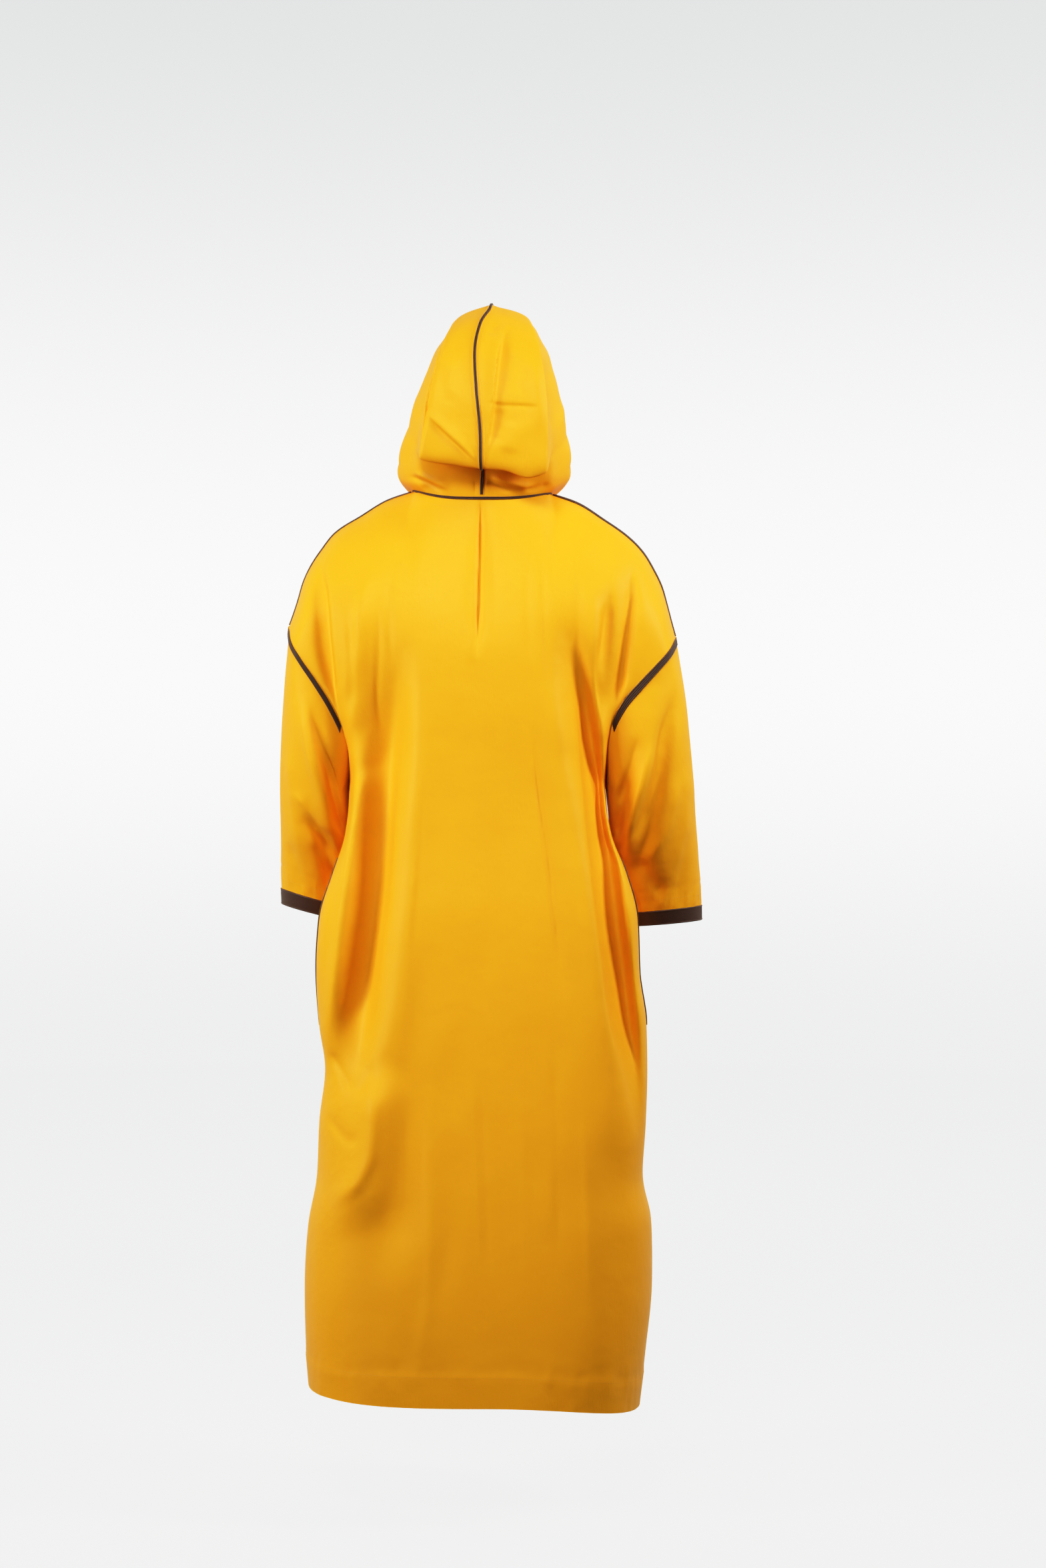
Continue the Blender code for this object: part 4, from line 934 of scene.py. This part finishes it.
def sleeve_grid(side):
    """The finished points and normals of a sleeve, with its creases and the gathers and
    stitch line over its cuff."""
    turns = np.linspace(0.0, 1.0, SLEEVE_TURNS + 1)[None, :]
    run = np.linspace(0.0, 1.0, SLEEVE_ROWS + 1)[:, None]
    points = sleeve(side, turns, run)
    normals = grid_normals(points, -side, wrap=True)
    behind = step(-0.02, 0.02, points[..., 1] - read(SLEEVES[side], "middle_y", run))
    height = behind * crease_height(points[..., 0], points[..., 2], SLEEVE_BACK_CREASES[side])
    height += (1.0 - behind) * crease_height(points[..., 0], points[..., 2], SLEEVE_FRONT_CREASES[side])
    height += uneven(points, side, SLEEVE_RIPPLES)
    above = (1.0 - run) * sleeve_length(side) - CUFF_BRAID_WIDTH
    near_cuff = step(0.05, 0.0, above) * step(-0.003, 0.004, above)
    height *= step(0.0, 0.05, run) * step(1.0, 0.93, run)
    height += uneven(points, side, CUFF_GATHERS) * near_cuff
    height -= groove(above - CUFF_STITCHES, *CUFF_GROOVE)
    points = points + height[..., None] * normals
    return points, grid_normals(points, -side, wrap=True)


def hood_grid(side):
    """The finished points and normals of one half of the hood."""
    faces = np.linspace(0.0, HOOD_FACES, HOOD_COLUMNS + 1)
    runs = np.linspace(0.0, 1.0, HOOD_ROWS + 1)
    points = softened(hood(side, faces, runs), HOOD_PASSES)
    normals = grid_normals(points, -side)
    behind = step(0.25, 0.7, normals[..., 1])
    beside = step(0.45, 0.8, np.abs(normals[..., 0])) * (1.0 - behind)
    height = behind * crease_height(points[..., 0], points[..., 2], PEAK_CREASES)
    height += beside * crease_height(points[..., 1], points[..., 2], SIDE_CREASES[side])
    height += uneven(points, side, HOOD_RIPPLES)
    height *= step(0.0, 0.04, runs)[:, None] * step(0.0, 2.0, faces)[None, :] ** 0.5
    points = points + height[..., None] * normals
    return points, grid_normals(points, -side)


# Meshes
def add_object(name, data):
    """A new object in the scene."""
    made = bpy.data.objects.new(name, data)
    bpy.context.scene.collection.objects.link(made)
    return made


def grid_faces(shape, facing, wrap):
    """The four-sided faces of a grid of points, by row, column and corner."""
    number = np.arange(shape[0] * shape[1]).reshape(shape)
    if wrap:
        number[:, -1] = number[:, 0]
    a, b, c, d = number[:-1, :-1], number[:-1, 1:], number[1:, 1:], number[1:, :-1]
    return np.stack((a, b, c, d) if facing > 0 else (a, d, c, b), axis=-1)


def mesh_piece(name, places, faces, uv=None):
    """A smooth mesh object; vertices that no face uses are left out."""
    used, corners = np.unique(faces.ravel(), return_inverse=True)
    mesh = bpy.data.meshes.new(name)
    mesh.from_pydata(places[used].tolist(), [], corners.reshape(faces.shape).tolist())
    if uv is not None:
        layer = mesh.uv_layers.new(name="cloth")
        layer.data.foreach_set("uv", uv[used][corners.ravel()].astype(np.float32).ravel())
    mesh.validate()
    mesh.shade_smooth()
    mesh.set_sharp_from_angle(angle=math.radians(55))
    return add_object(name, mesh)


def shell(name, points, normals, facing, wrap=False, skip=None):
    """A thin shell on a grid of points, closed round its borders, with its cloth's own
    length and width as UV, in metres."""
    outer = grid_faces(points.shape[:2], facing, wrap)
    if skip is not None:
        outer = outer[~skip]
    outer = outer.reshape(-1, 4)
    total = points.shape[0] * points.shape[1]
    inner = outer[:, ::-1] + total
    edges = np.stack([outer, np.roll(outer, -1, axis=1)], axis=-1).reshape(-1, 2)
    forward = edges[:, 0] * (2 * total) + edges[:, 1]
    backward = edges[:, 1] * (2 * total) + edges[:, 0]
    border = edges[~np.isin(forward, backward)]
    rim = np.stack([border[:, 1], border[:, 0], border[:, 0] + total, border[:, 1] + total], axis=-1)
    places = np.concatenate([points.reshape(-1, 3), (points - CLOTH_SHELL * normals).reshape(-1, 3)])
    across, down = strides(points, 1).mean(axis=0).cumsum(), strides(points, 0).mean(axis=1).cumsum()
    uv = np.stack(np.broadcast_arrays(across[None, :], -down[:, None]), axis=-1).reshape(-1, 2)
    return mesh_piece(name, places, np.concatenate([outer, inner, rim]), np.concatenate([uv, uv]))


def resample(line, count):
    """A polyline read again at even steps."""
    along = arc(line)
    places = np.linspace(0.0, along[-1], count + 1)
    return np.stack([np.interp(places, along, axis) for axis in line.T], axis=-1)


def band(name, rails, facing, relief, count, lift, closed=False):
    """A braid or cord: rails are three or more lines along it, first edge to last, on the
    cloth; relief gives its height from how far across it is (-1 to 1) and how far along, in
    metres. Its sides go down into the cloth."""
    lengths = [arc(rail)[-1] for rail in rails]
    steps = max(2, int(round(max(lengths) / CORD_STEP)))
    even = np.stack([resample(rail, steps) for rail in rails], axis=1)
    stations = np.linspace(-1.0, 1.0, len(rails))
    across = np.linspace(-1.0, 1.0, count + 1)
    base = np.stack([[np.interp(across, stations, axis) for axis in place.T] for place in even])
    base = base.transpose(2, 0, 1)
    normals = grid_normals(base, facing, wrap=closed)
    blend = unit(0.35 * normals + 0.65 * normals[len(normals) // 2][None])
    along = np.linspace(0.0, float(np.mean(lengths)), steps + 1)
    top = base + (lift + relief(across[:, None], along[None, :]))[..., None] * blend
    feet = base[[0, -1]] - FOOT_SINK * blend[[0, -1]]
    grid = np.concatenate([feet[:1], top, feet[1:]])
    if not closed:
        ends = END_SINK * np.concatenate([blend[:1], blend, blend[-1:]])[:, [0, -1]]
        grid = np.concatenate([grid[:, :1] - ends[:, :1], grid, grid[:, -1:] - ends[:, 1:]], axis=1)
    rows, columns = grid.shape[:2]
    u = np.linspace(0, along[-1], columns)[None, :]
    v = np.linspace(0, rows * 0.0005, rows)[:, None]
    uv = np.stack(np.broadcast_arrays(u, v), axis=-1).reshape(-1, 2)
    faces = grid_faces((rows, columns), facing, closed).reshape(-1, 4)
    return mesh_piece(name, grid.reshape(-1, 3), faces, uv)


def stitches(name, line, normals, length, gap, radius):
    """A row of short raised stitches along a line on the cloth, as one mesh."""
    knots = arc(line)
    both = np.concatenate([line, normals], axis=1)
    starts = np.arange(0.5 * gap, knots[-1] - length, length + gap)
    shares, widths, rises = np.array(STITCH_SECTIONS).T
    angle = np.arange(STITCH_SIDES) * 2 * math.pi / STITCH_SIDES
    places = (starts[:, None] + shares[None, :] * length).ravel()
    places = np.stack([np.interp(places, knots, axis) for axis in both.T], axis=-1)
    places = places.reshape(len(starts), len(shares), 6)
    centre, up = places[..., :3], unit(places[..., 3:])
    sideways = unit(np.cross(up, unit(np.gradient(centre, axis=1))))
    centre = centre + up * (radius * (rises - STITCH_SINK))[None, :, None]
    ring = sideways[:, :, None] * np.cos(angle)[:, None] + up[:, :, None] * np.sin(angle)[:, None]
    places = centre[:, :, None] + ring * (radius * widths)[None, :, None, None]
    number = np.arange(places.size // 3).reshape(places.shape[:3])
    after = np.roll(number, -1, axis=2)
    quads = np.stack([number[:, :-1], after[:, :-1], after[:, 1:], number[:, 1:]], axis=-1)
    return mesh_piece(name, places.reshape(-1, 3), quads.reshape(-1, 4))


# Materials
def set_sockets(node, **values):
    """Set a node's inputs by name, with _ for a space."""
    for name, value in values.items():
        node.inputs[name.replace("_", " ")].default_value = value


def add_node(tree, kind, vector=None, **values):
    """A new shader node with these inputs, reading its places from a vector."""
    node = tree.nodes.new("ShaderNode" + kind)
    set_sockets(node, **values)
    if vector is not None:
        tree.links.new(vector, node.inputs["Vector"])
    return node


def add_bump(tree, height, distance, before=None):
    """A bump node over a height, after another one."""
    node = add_node(tree, "Bump", Strength=1.0, Distance=distance)
    tree.links.new(height, node.inputs["Height"])
    if before is not None:
        tree.links.new(before.outputs["Normal"], node.inputs["Normal"])
    return node


def cloth_material(name, base, roughness, specular, sheen, sheen_tint):
    """A cloth whose colour wanders a little, with its tree, shader and places."""
    made = bpy.data.materials.new(name)
    made.use_nodes = True
    tree = made.node_tree
    shader = tree.nodes["Principled BSDF"]
    set_sockets(shader, Roughness=roughness, Specular_IOR_Level=specular, Sheen_Weight=sheen,
                Sheen_Roughness=0.5, Sheen_Tint=(*sheen_tint, 1.0))
    place = add_node(tree, "TexCoord").outputs["Object"]
    broad = add_node(tree, "TexNoise", place, Scale=6.0, Detail=3.0)
    tint = add_node(tree, "Mix")
    tint.data_type = "RGBA"
    tint.inputs[6].default_value = (base[0] * 0.97, base[1] * 0.955, base[2] * 0.9, 1.0)
    tint.inputs[7].default_value = (base[0] * 1.03, base[1] * 1.045, base[2] * 1.1, 1.0)
    tree.links.new(broad.outputs["Fac"], tint.inputs[0])
    tree.links.new(tint.outputs[2], shader.inputs["Base Color"])
    return made, tree, shader, place


def crepe(name, base):
    """The plain satin-faced crepe of the robe: a fine twill with a soft sheen."""
    made, tree, shader, place = cloth_material(name, base, 0.50, 0.16, 0.03, (1.0, 0.80, 0.30))
    cloth = add_node(tree, "UVMap")
    cloth.uv_map = "cloth"
    # slight slubs along the warp, small soft dents of worn cloth, then the twill's slanting lines
    warp = add_node(tree, "Mapping", cloth.outputs["UV"], Scale=(1.0, 0.22, 1.0))
    slubs = add_node(tree, "TexNoise", warp.outputs["Vector"], Scale=420.0, Detail=2.0)
    dents = add_node(tree, "TexNoise", place, Scale=38.0, Detail=2.0, Roughness=0.45)
    twill = add_node(tree, "TexWave", cloth.outputs["UV"], Scale=220.0, Distortion=1.2, Detail=1.0)
    twill.wave_type = "BANDS"
    twill.bands_direction = "DIAGONAL"
    first = add_bump(tree, slubs.outputs["Fac"], 0.00022)
    second = add_bump(tree, dents.outputs["Fac"], 0.0012, first)
    third = add_bump(tree, twill.outputs["Fac"], 0.00006, second)
    tree.links.new(third.outputs["Normal"], shader.inputs["Normal"])
    return made


def braid(name, base):
    """The dark silky thread of the braid and cord."""
    made, tree, shader, place = cloth_material(name, base, 0.52, 0.45, 0.35, (0.62, 0.45, 0.36))
    fibre = add_node(tree, "TexNoise", place, Scale=900.0, Detail=2.0)
    first = add_bump(tree, fibre.outputs["Fac"], 0.0003)
    tree.links.new(first.outputs["Normal"], shader.inputs["Normal"])
    return made


CREPE = crepe("mustard_crepe", (0.90, 0.395, 0.026))
THREAD = crepe("mustard_thread", (0.80, 0.40, 0.07))
BRAID = braid("brown_braid", (0.108, 0.055, 0.040))


def finish_piece(made, look, slot, *nodes):
    """Give a piece its finish and its place on the part."""
    made.data.materials.append(look)
    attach(made, "root")
    if nodes:
        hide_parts(*nodes)
    return made


# The cloth
NAMES = {LEFT: "left", RIGHT: "right"}
# By the name of each piece of cloth: its grid of points and normals, its object, and what is
# sewn on it
grids, cloths, sewn_on = {}, {}, {}


def add_cloth(name, node, grid, facing, **options):
    """One cut piece of cloth, which stands for a node of the part."""
    grids[name] = grid
    sewn_on[name] = []
    cloths[name] = finish_piece(shell(name, *grid, facing, **options), CREPE, "crepe", node)


add_cloth("back_cloth", "back_panel", panel_grid("back"), 1)
front_grid = panel_grid("front")
open_slit = np.zeros((front_grid[0].shape[0] - 1, front_grid[0].shape[1] - 1), dtype=bool)
slit_rows = int(np.searchsorted(body_levels(), FRONT_SLIT_LEVELS - 0.01))
open_slit[:slit_rows, open_slit.shape[1] // 2] = True
add_cloth("front_cloth", "front_panel", front_grid, -1, skip=open_slit)
for side, name in NAMES.items():
    add_cloth(f"sleeve_cloth_{name}", f"sleeve_{name}", sleeve_grid(side), -side, wrap=True)
    add_cloth(f"hood_cloth_{name}", f"hood_{name}", hood_grid(side), -side)


# The trims
def twist(along, across, pitch, lean):
    """The ridges of thread that wind round a cord; between -1 and 1."""
    return np.sin(2 * math.pi * (along / pitch + lean * across))


def two_cords(height):
    """Piping: two thin cords side by side, their threads winding opposite ways."""

    def relief(across, along):
        round_top = np.sqrt(np.clip(1.0 - (2.0 * np.abs(across) - 1.0) ** 2, 0.0, 1.0))
        return height * round_top * (1.0 + 0.14 * twist(along, across, PIPING_PITCH, 0.7 * np.sign(across)))

    return relief


def four_cords(across, along):
    """Flat braid: four cords along it."""
    phase = 2.0 * across + 2.0
    round_top = np.sqrt(np.abs(np.sin(math.pi * phase)))
    which = np.floor(phase) % 2 * 2.0 - 1.0
    height = BRAID_HEIGHT * (0.30 + 0.70 * round_top)
    return height * (1.0 + 0.12 * twist(along, across, BRAID_PITCH, 0.9 * which))


def ribbed(across, along):
    """Cuff braid: a corded border along each side and slanting ribs between."""
    far = np.abs(across)
    border = np.clip(1.0 - ((far - 0.88) / 0.11) ** 2, 0.0, 1.0) ** 0.5
    border = border * (1.0 + 0.12 * twist(along, across, BRAID_PITCH, 1.5))
    ribs = 0.62 + 0.16 * twist(along, across, RIB_PITCH, 4.5) + 0.08 * np.cos(12.0 * math.pi * across)
    return BRAID_HEIGHT * np.where(far > 0.78, np.maximum(border, 0.25), ribs)


def toward(edge, neighbours, width):
    """Points at a width from an edge, toward others, square to the edge."""
    tangent = unit(np.gradient(edge, axis=0))
    way = neighbours - edge
    way = way - np.sum(way * tangent, axis=-1, keepdims=True) * tangent
    return edge + unit(way) * width


def add_trim(name, node, cloth, rails, facing, relief, count=CORD_COLUMNS, lift=TRIM_LIFT, closed=False):
    """A braid or cord sewn on a piece of cloth, which stands for a node of the part."""
    made = band(name, rails, facing, relief, count, lift, closed)
    sewn_on[cloth].append(finish_piece(made, BRAID, "braid", node))


def neck_rails(side):
    """Three lines of the neck piping on one side: on the hood, on the seam, on the panels."""
    seam, above = grids[f"hood_cloth_{NAMES[side]}"][0][:2]
    angle = neck_angle(np.linspace(0.0, HOOD_FACES, HOOD_COLUMNS + 1))
    share = side * (NECK_SHARE * np.sin(angle) + 0.03 * np.abs(np.sin(angle)) ** 4)
    level = 0.15 * np.abs(np.cos(angle))
    behind = (angle <= 0.5 * math.pi)[:, None]
    below = np.where(behind, body("back", share, level), body("front", share, level))
    return toward(seam, above, 0.5 * PIPING_WIDTH), seam, toward(seam, below, 0.5 * PIPING_WIDTH)


pairs = zip(neck_rails(RIGHT), neck_rails(LEFT))
neck_lines = [np.concatenate([right[::-1], left[1:]]) for right, left in pairs]
add_trim("neck_cord", "neck_piping", "back_cloth", neck_lines, 1, two_cords(PIPING_HEIGHT))

left_points, right_points = (grids[f"hood_cloth_{name}"][0][2:] for name in NAMES.values())
seam = left_points[:, 0]
rails = [toward(seam, left_points[:, 2], 0.5 * PIPING_WIDTH), seam,
         toward(seam, right_points[:, 2], 0.5 * PIPING_WIDTH)]
add_trim("hood_cord", "hood_piping", "hood_cloth_left", rails, -1, two_cords(PIPING_HEIGHT))

for side, name in NAMES.items():
    sleeve_name = f"sleeve_cloth_{name}"
    # shoulder braid, mostly behind the seam on the right
    shares = side * np.linspace(NECK_SHARE * SHOULDER_BRAID_START, 1.0, 80)
    seam = body("back", shares, 0.0)
    behind = SHOULDER_BRAID_BEHIND[side]
    rails = [
        toward(seam, body("back", shares, 0.12), behind * SHOULDER_BRAID_WIDTH),
        seam,
        toward(seam, body("front", shares, 0.12), (1.0 - behind) * SHOULDER_BRAID_WIDTH),
    ]
    add_trim(f"shoulder_cord_{name}", f"shoulder_braid_{name}", "back_cloth", rails, -side,
             two_cords(BRAID_HEIGHT))

    # armhole braid, on the sleeve, open where the sleeve lies on the body
    turns = np.concatenate([np.linspace(1.0 - ARMHOLE_BRAID_TURN, 1.0, 70),
                            np.linspace(0.0, ARMHOLE_BRAID_TURN, 70)[1:]])
    length = sleeve_length(side)
    places = (ARMHOLE_BRAID_INSET + np.linspace(0.0, ARMHOLE_BRAID_WIDTH, 5)) / length
    rails = list(sleeve(side, turns[None, :], places[:, None]))
    add_trim(f"armhole_cord_{name}", f"armhole_braid_{name}", sleeve_name, rails, -side, four_cords,
             ARMHOLE_COLUMNS)

    # cuff braid
    turns = np.linspace(0.0, 1.0, SLEEVE_TURNS + 1)
    places = 1.0 - np.linspace(CUFF_BRAID_WIDTH, 0.0, 6) / length
    rails = list(sleeve(side, turns[None, :], places[:, None]))
    add_trim(f"cuff_cord_{name}", f"cuff_braid_{name}", sleeve_name, rails, -side, ribbed,
             CUFF_COLUMNS, LOW_TRIM_LIFT, closed=True)

    # pocket slit piping, on each panel's edge
    levels = np.linspace(SLIT_TOP_LEVEL + 0.03, SLIT_LOW_LEVEL - 0.03, 60)
    for face, facing in (("back", 1), ("front", -1)):
        edge, inside = body(face, side, levels), body(face, side * 0.995, levels)
        rails = [toward(edge, inside, width) for width in (0.0004, 0.5 * PIPING_WIDTH, PIPING_WIDTH)]
        add_trim(f"pocket_cord_{face}_{name}", f"pocket_piping_{face}_{name}", f"{face}_cloth", rails,
                 side * facing, two_cords(PIPING_HEIGHT), lift=LOW_TRIM_LIFT)


# The sewing
def line_at_distance(points, seam, distance, columns, last_row=24):
    """Down each of the columns, the place that lies at a distance from a seam line above it."""
    dense = resample(seam, int(round(arc(seam)[-1] / 0.002)))
    found = []
    for column in columns:
        way = points[:last_row, column]
        gaps = np.sqrt(((way[:, None] - dense[None]) ** 2).sum(-1)).min(axis=1)
        over = np.flatnonzero(gaps >= distance)
        if len(over) and over[0] > 0:
            k = over[0]
            share = (distance - gaps[k - 1]) / (gaps[k] - gaps[k - 1])
            found.append((k - 1 + share, column))
    return np.array(found)


def steps_to(distance, points):
    """Along each row of points, how many steps make up a distance."""
    counts = [np.interp(distance, way, np.arange(len(way))) for way in strides(points, 1).cumsum(axis=1)]
    return np.array(counts)


def above_edge(points, distance):
    """For every column, the place at a distance from the grid's last row."""
    rows = len(points) - 1 - steps_to(distance, points[::-1].transpose(1, 0, 2))
    return np.stack([rows, np.arange(points.shape[1])], axis=-1)


def beside_seam(points, distance, first_row=3):
    """For every row but the first few, the place at a distance from the grid's first column."""
    return np.stack([np.arange(first_row, len(points)), steps_to(distance, points[first_row:])], axis=-1)


def read_grid(grid, places):
    """Read a grid at (row, column) places between its points."""
    row, column = places[:, 0], places[:, 1]
    r0 = np.clip(row.astype(int), 0, grid.shape[0] - 2)
    c0 = np.clip(column.astype(int), 0, grid.shape[1] - 2)
    fr, fc = (row - r0)[:, None], (column - c0)[:, None]
    top = grid[r0, c0] * (1 - fc) + grid[r0, c0 + 1] * fc
    low = grid[r0 + 1, c0] * (1 - fc) + grid[r0 + 1, c0 + 1] * fc
    return top * (1 - fr) + low * fr


def sew(name, cloth, places, size=STITCH):
    """A row of stitches along places on a piece of cloth."""
    points, normals = grids[cloth]
    line, out = read_grid(points, places), unit(read_grid(normals, places))
    made = stitches(name, line, out, *size)
    sewn_on[cloth].append(finish_piece(made, THREAD, "crepe"))


back_points, front_points = grids["back_cloth"][0], grids["front_cloth"][0]
neck_columns = np.arange(BACK_COLUMNS - BACK_COLUMNS // 3 + 2, BACK_COLUMNS + BACK_COLUMNS // 3 - 1)
places = line_at_distance(back_points, neck_lines[1], NECK_STITCHES, neck_columns)
sew("neck_stitches", "back_cloth", places, FINE_STITCH)
sew("hem_stitches_back", "back_cloth", above_edge(back_points, HEM_STITCHES))
sew("hem_stitches_front", "front_cloth", above_edge(front_points, HEM_STITCHES))
for name in NAMES.values():
    sleeve_name, hood_name = f"sleeve_cloth_{name}", f"hood_cloth_{name}"
    places = above_edge(grids[sleeve_name][0], CUFF_STITCHES + CUFF_BRAID_WIDTH)
    sew(f"cuff_stitches_{name}", sleeve_name, places)
    sew(f"hood_stitches_{name}", hood_name, beside_seam(grids[hood_name][0], SEAM_STITCHES))
    sew(f"face_stitches_{name}", hood_name, above_edge(grids[hood_name][0], FACE_STITCHES))


# The studio
def studio_painted_glow():
    """A pale wall that gives its own light: painted light for a lit studio wall, brightest at its middle
    and darker on the floor and at the top.
    """
    look = bpy.data.materials.new("studio_painted_glow")
    look.use_nodes = True
    tree = look.node_tree
    shader = tree.nodes["Principled BSDF"]
    set_sockets(shader, Base_Color=(0.08, 0.08, 0.08, 1.0), Roughness=1.0, Specular_IOR_Level=0.0,
                Emission_Strength=1.0)
    place = add_node(tree, "NewGeometry")
    parts = add_node(tree, "SeparateXYZ", place.outputs["Position"])
    rise = add_node(tree, "MapRange", From_Min=-1.6, From_Max=3.4)
    # painted light: the glow is brightest at middle height and darker on the floor and at the top of the
    # wall
    glow = add_node(tree, "ValToRGB")
    glow.color_ramp.interpolation = "EASE"
    low_end, high_end = glow.color_ramp.elements
    low_end.color, high_end.color = (0.70, 0.70, 0.70, 1.0), (0.60, 0.60, 0.60, 1.0)
    glow.color_ramp.elements.new(0.34).color = (0.90, 0.90, 0.90, 1.0)
    tree.links.new(parts.outputs["Z"], rise.inputs["Value"])
    tree.links.new(rise.outputs["Result"], glow.inputs["Fac"])
    tree.links.new(glow.outputs["Color"], shader.inputs["Emission Color"])
    return look


def backdrop():
    """A pale studio: a floor that turns up into a wall all round."""
    bend = np.linspace(0.0, 0.5 * math.pi, 12)
    radii = np.concatenate([STUDIO_RADIUS + STUDIO_BEND * np.sin(bend), [STUDIO_RADIUS + STUDIO_BEND] * 2])
    heights = np.concatenate([STUDIO_BEND * (1.0 - np.cos(bend)), STUDIO_WALL])
    count = 64
    angle = np.arange(count) * 2 * math.pi / count
    x, y = radii[:, None] * np.cos(angle), radii[:, None] * np.sin(angle)
    z = FLOOR_Z + heights[:, None] + 0.0 * x
    places = np.concatenate([np.stack([x, y, z], axis=-1).reshape(-1, 3), [[0.0, 0.0, FLOOR_Z]]])
    number = np.arange(x.size).reshape(x.shape)
    after = np.roll(number, -1, axis=1)
    quads = np.stack([number[:-1], after[:-1], after[1:], number[1:]], axis=-1).reshape(-1, 4).tolist()
    quads += [(x.size, int(number[0, k]), int(after[0, k])) for k in range(count)]
    mesh = bpy.data.meshes.new("studio")
    mesh.from_pydata(places.tolist(), [], quads)
    mesh.shade_smooth()
    mesh.materials.append(studio_painted_glow())
    made = add_object("studio", mesh)
    made.visible_diffuse = made.visible_glossy = made.visible_transmission = made.visible_shadow = False
    return made


def add_light(name, kind, place, aim, power):
    """A light at a place, turned to its aim and out of the camera's sight."""
    data = bpy.data.lights.new(name, kind)
    data.energy = power
    made = add_object(name, data)
    made.location = place
    made.rotation_euler = (Vector(aim) - Vector(place)).to_track_quat("-Z", "Y").to_euler()
    made.visible_camera = False
    return data


backdrop()
for name, place, aim, power in (
    ("left_box", (2.6, 1.5, 0.2), (0.0, 0.0, -0.6), 19.0),
    ("right_box", (-2.6, 0.9, 1.0), (0.0, 0.0, 0.0), 21.0),
):
    box = add_light(name, "AREA", place, aim, power)
    box.shape = "RECTANGLE"
    box.size, box.size_y = 0.7, 1.2
    box.spread = math.radians(110.0)
top = add_light("top", "SPOT", (0.4, 3.6, 2.1), (-0.08, 0.0, -0.18), 388.0)
top.color = (1.0, 0.99, 0.95)
top.spot_size, top.spot_blend, top.shadow_soft_size = math.radians(38.8), 1.0, 0.6

# pale air behind and beside the robe, a darker room on the side it is seen from
world = bpy.data.worlds.new("studio_air")
world.use_nodes = True
tree = world.node_tree
way = add_node(tree, "TexCoord")
parts = add_node(tree, "SeparateXYZ", way.outputs["Generated"])
air = add_node(tree, "MapRange", From_Min=-0.60, From_Max=0.10, To_Min=0.60, To_Max=0.045)
air.interpolation_type = "SMOOTHSTEP"
tree.links.new(parts.outputs["Y"], air.inputs["Value"])
tree.links.new(air.outputs["Result"], tree.nodes["Background"].inputs["Strength"])
set_sockets(tree.nodes["Background"], Color=(1.0, 1.0, 1.0, 1.0))
bpy.context.scene.world = world

lens = bpy.data.cameras.new("camera")
lens.lens, lens.sensor_width = 72.85, 36.0
lens.clip_start, lens.clip_end = 0.1, 60.0
camera = add_object("camera", lens)
camera.location = (-0.063, 4.9, -0.434)
camera.rotation_euler = (0.5 * math.pi, 0.0, math.pi)
bpy.context.scene.camera = camera

# a photograph's tone: deeper darks, a soft shoulder, and a little less red in the darks
view = bpy.context.scene.view_settings
view.view_transform = "Standard"
view.use_curve_mapping = True
red, tone = view.curve_mapping.curves[0], view.curve_mapping.curves[3]
tone.points[-1].location = (1.0, 0.985)
for light, shown in TONE:
    tone.points.new(light, shown)
for light, shown in RED_TONE:
    red.points.new(light, shown)
view.curve_mapping.update()
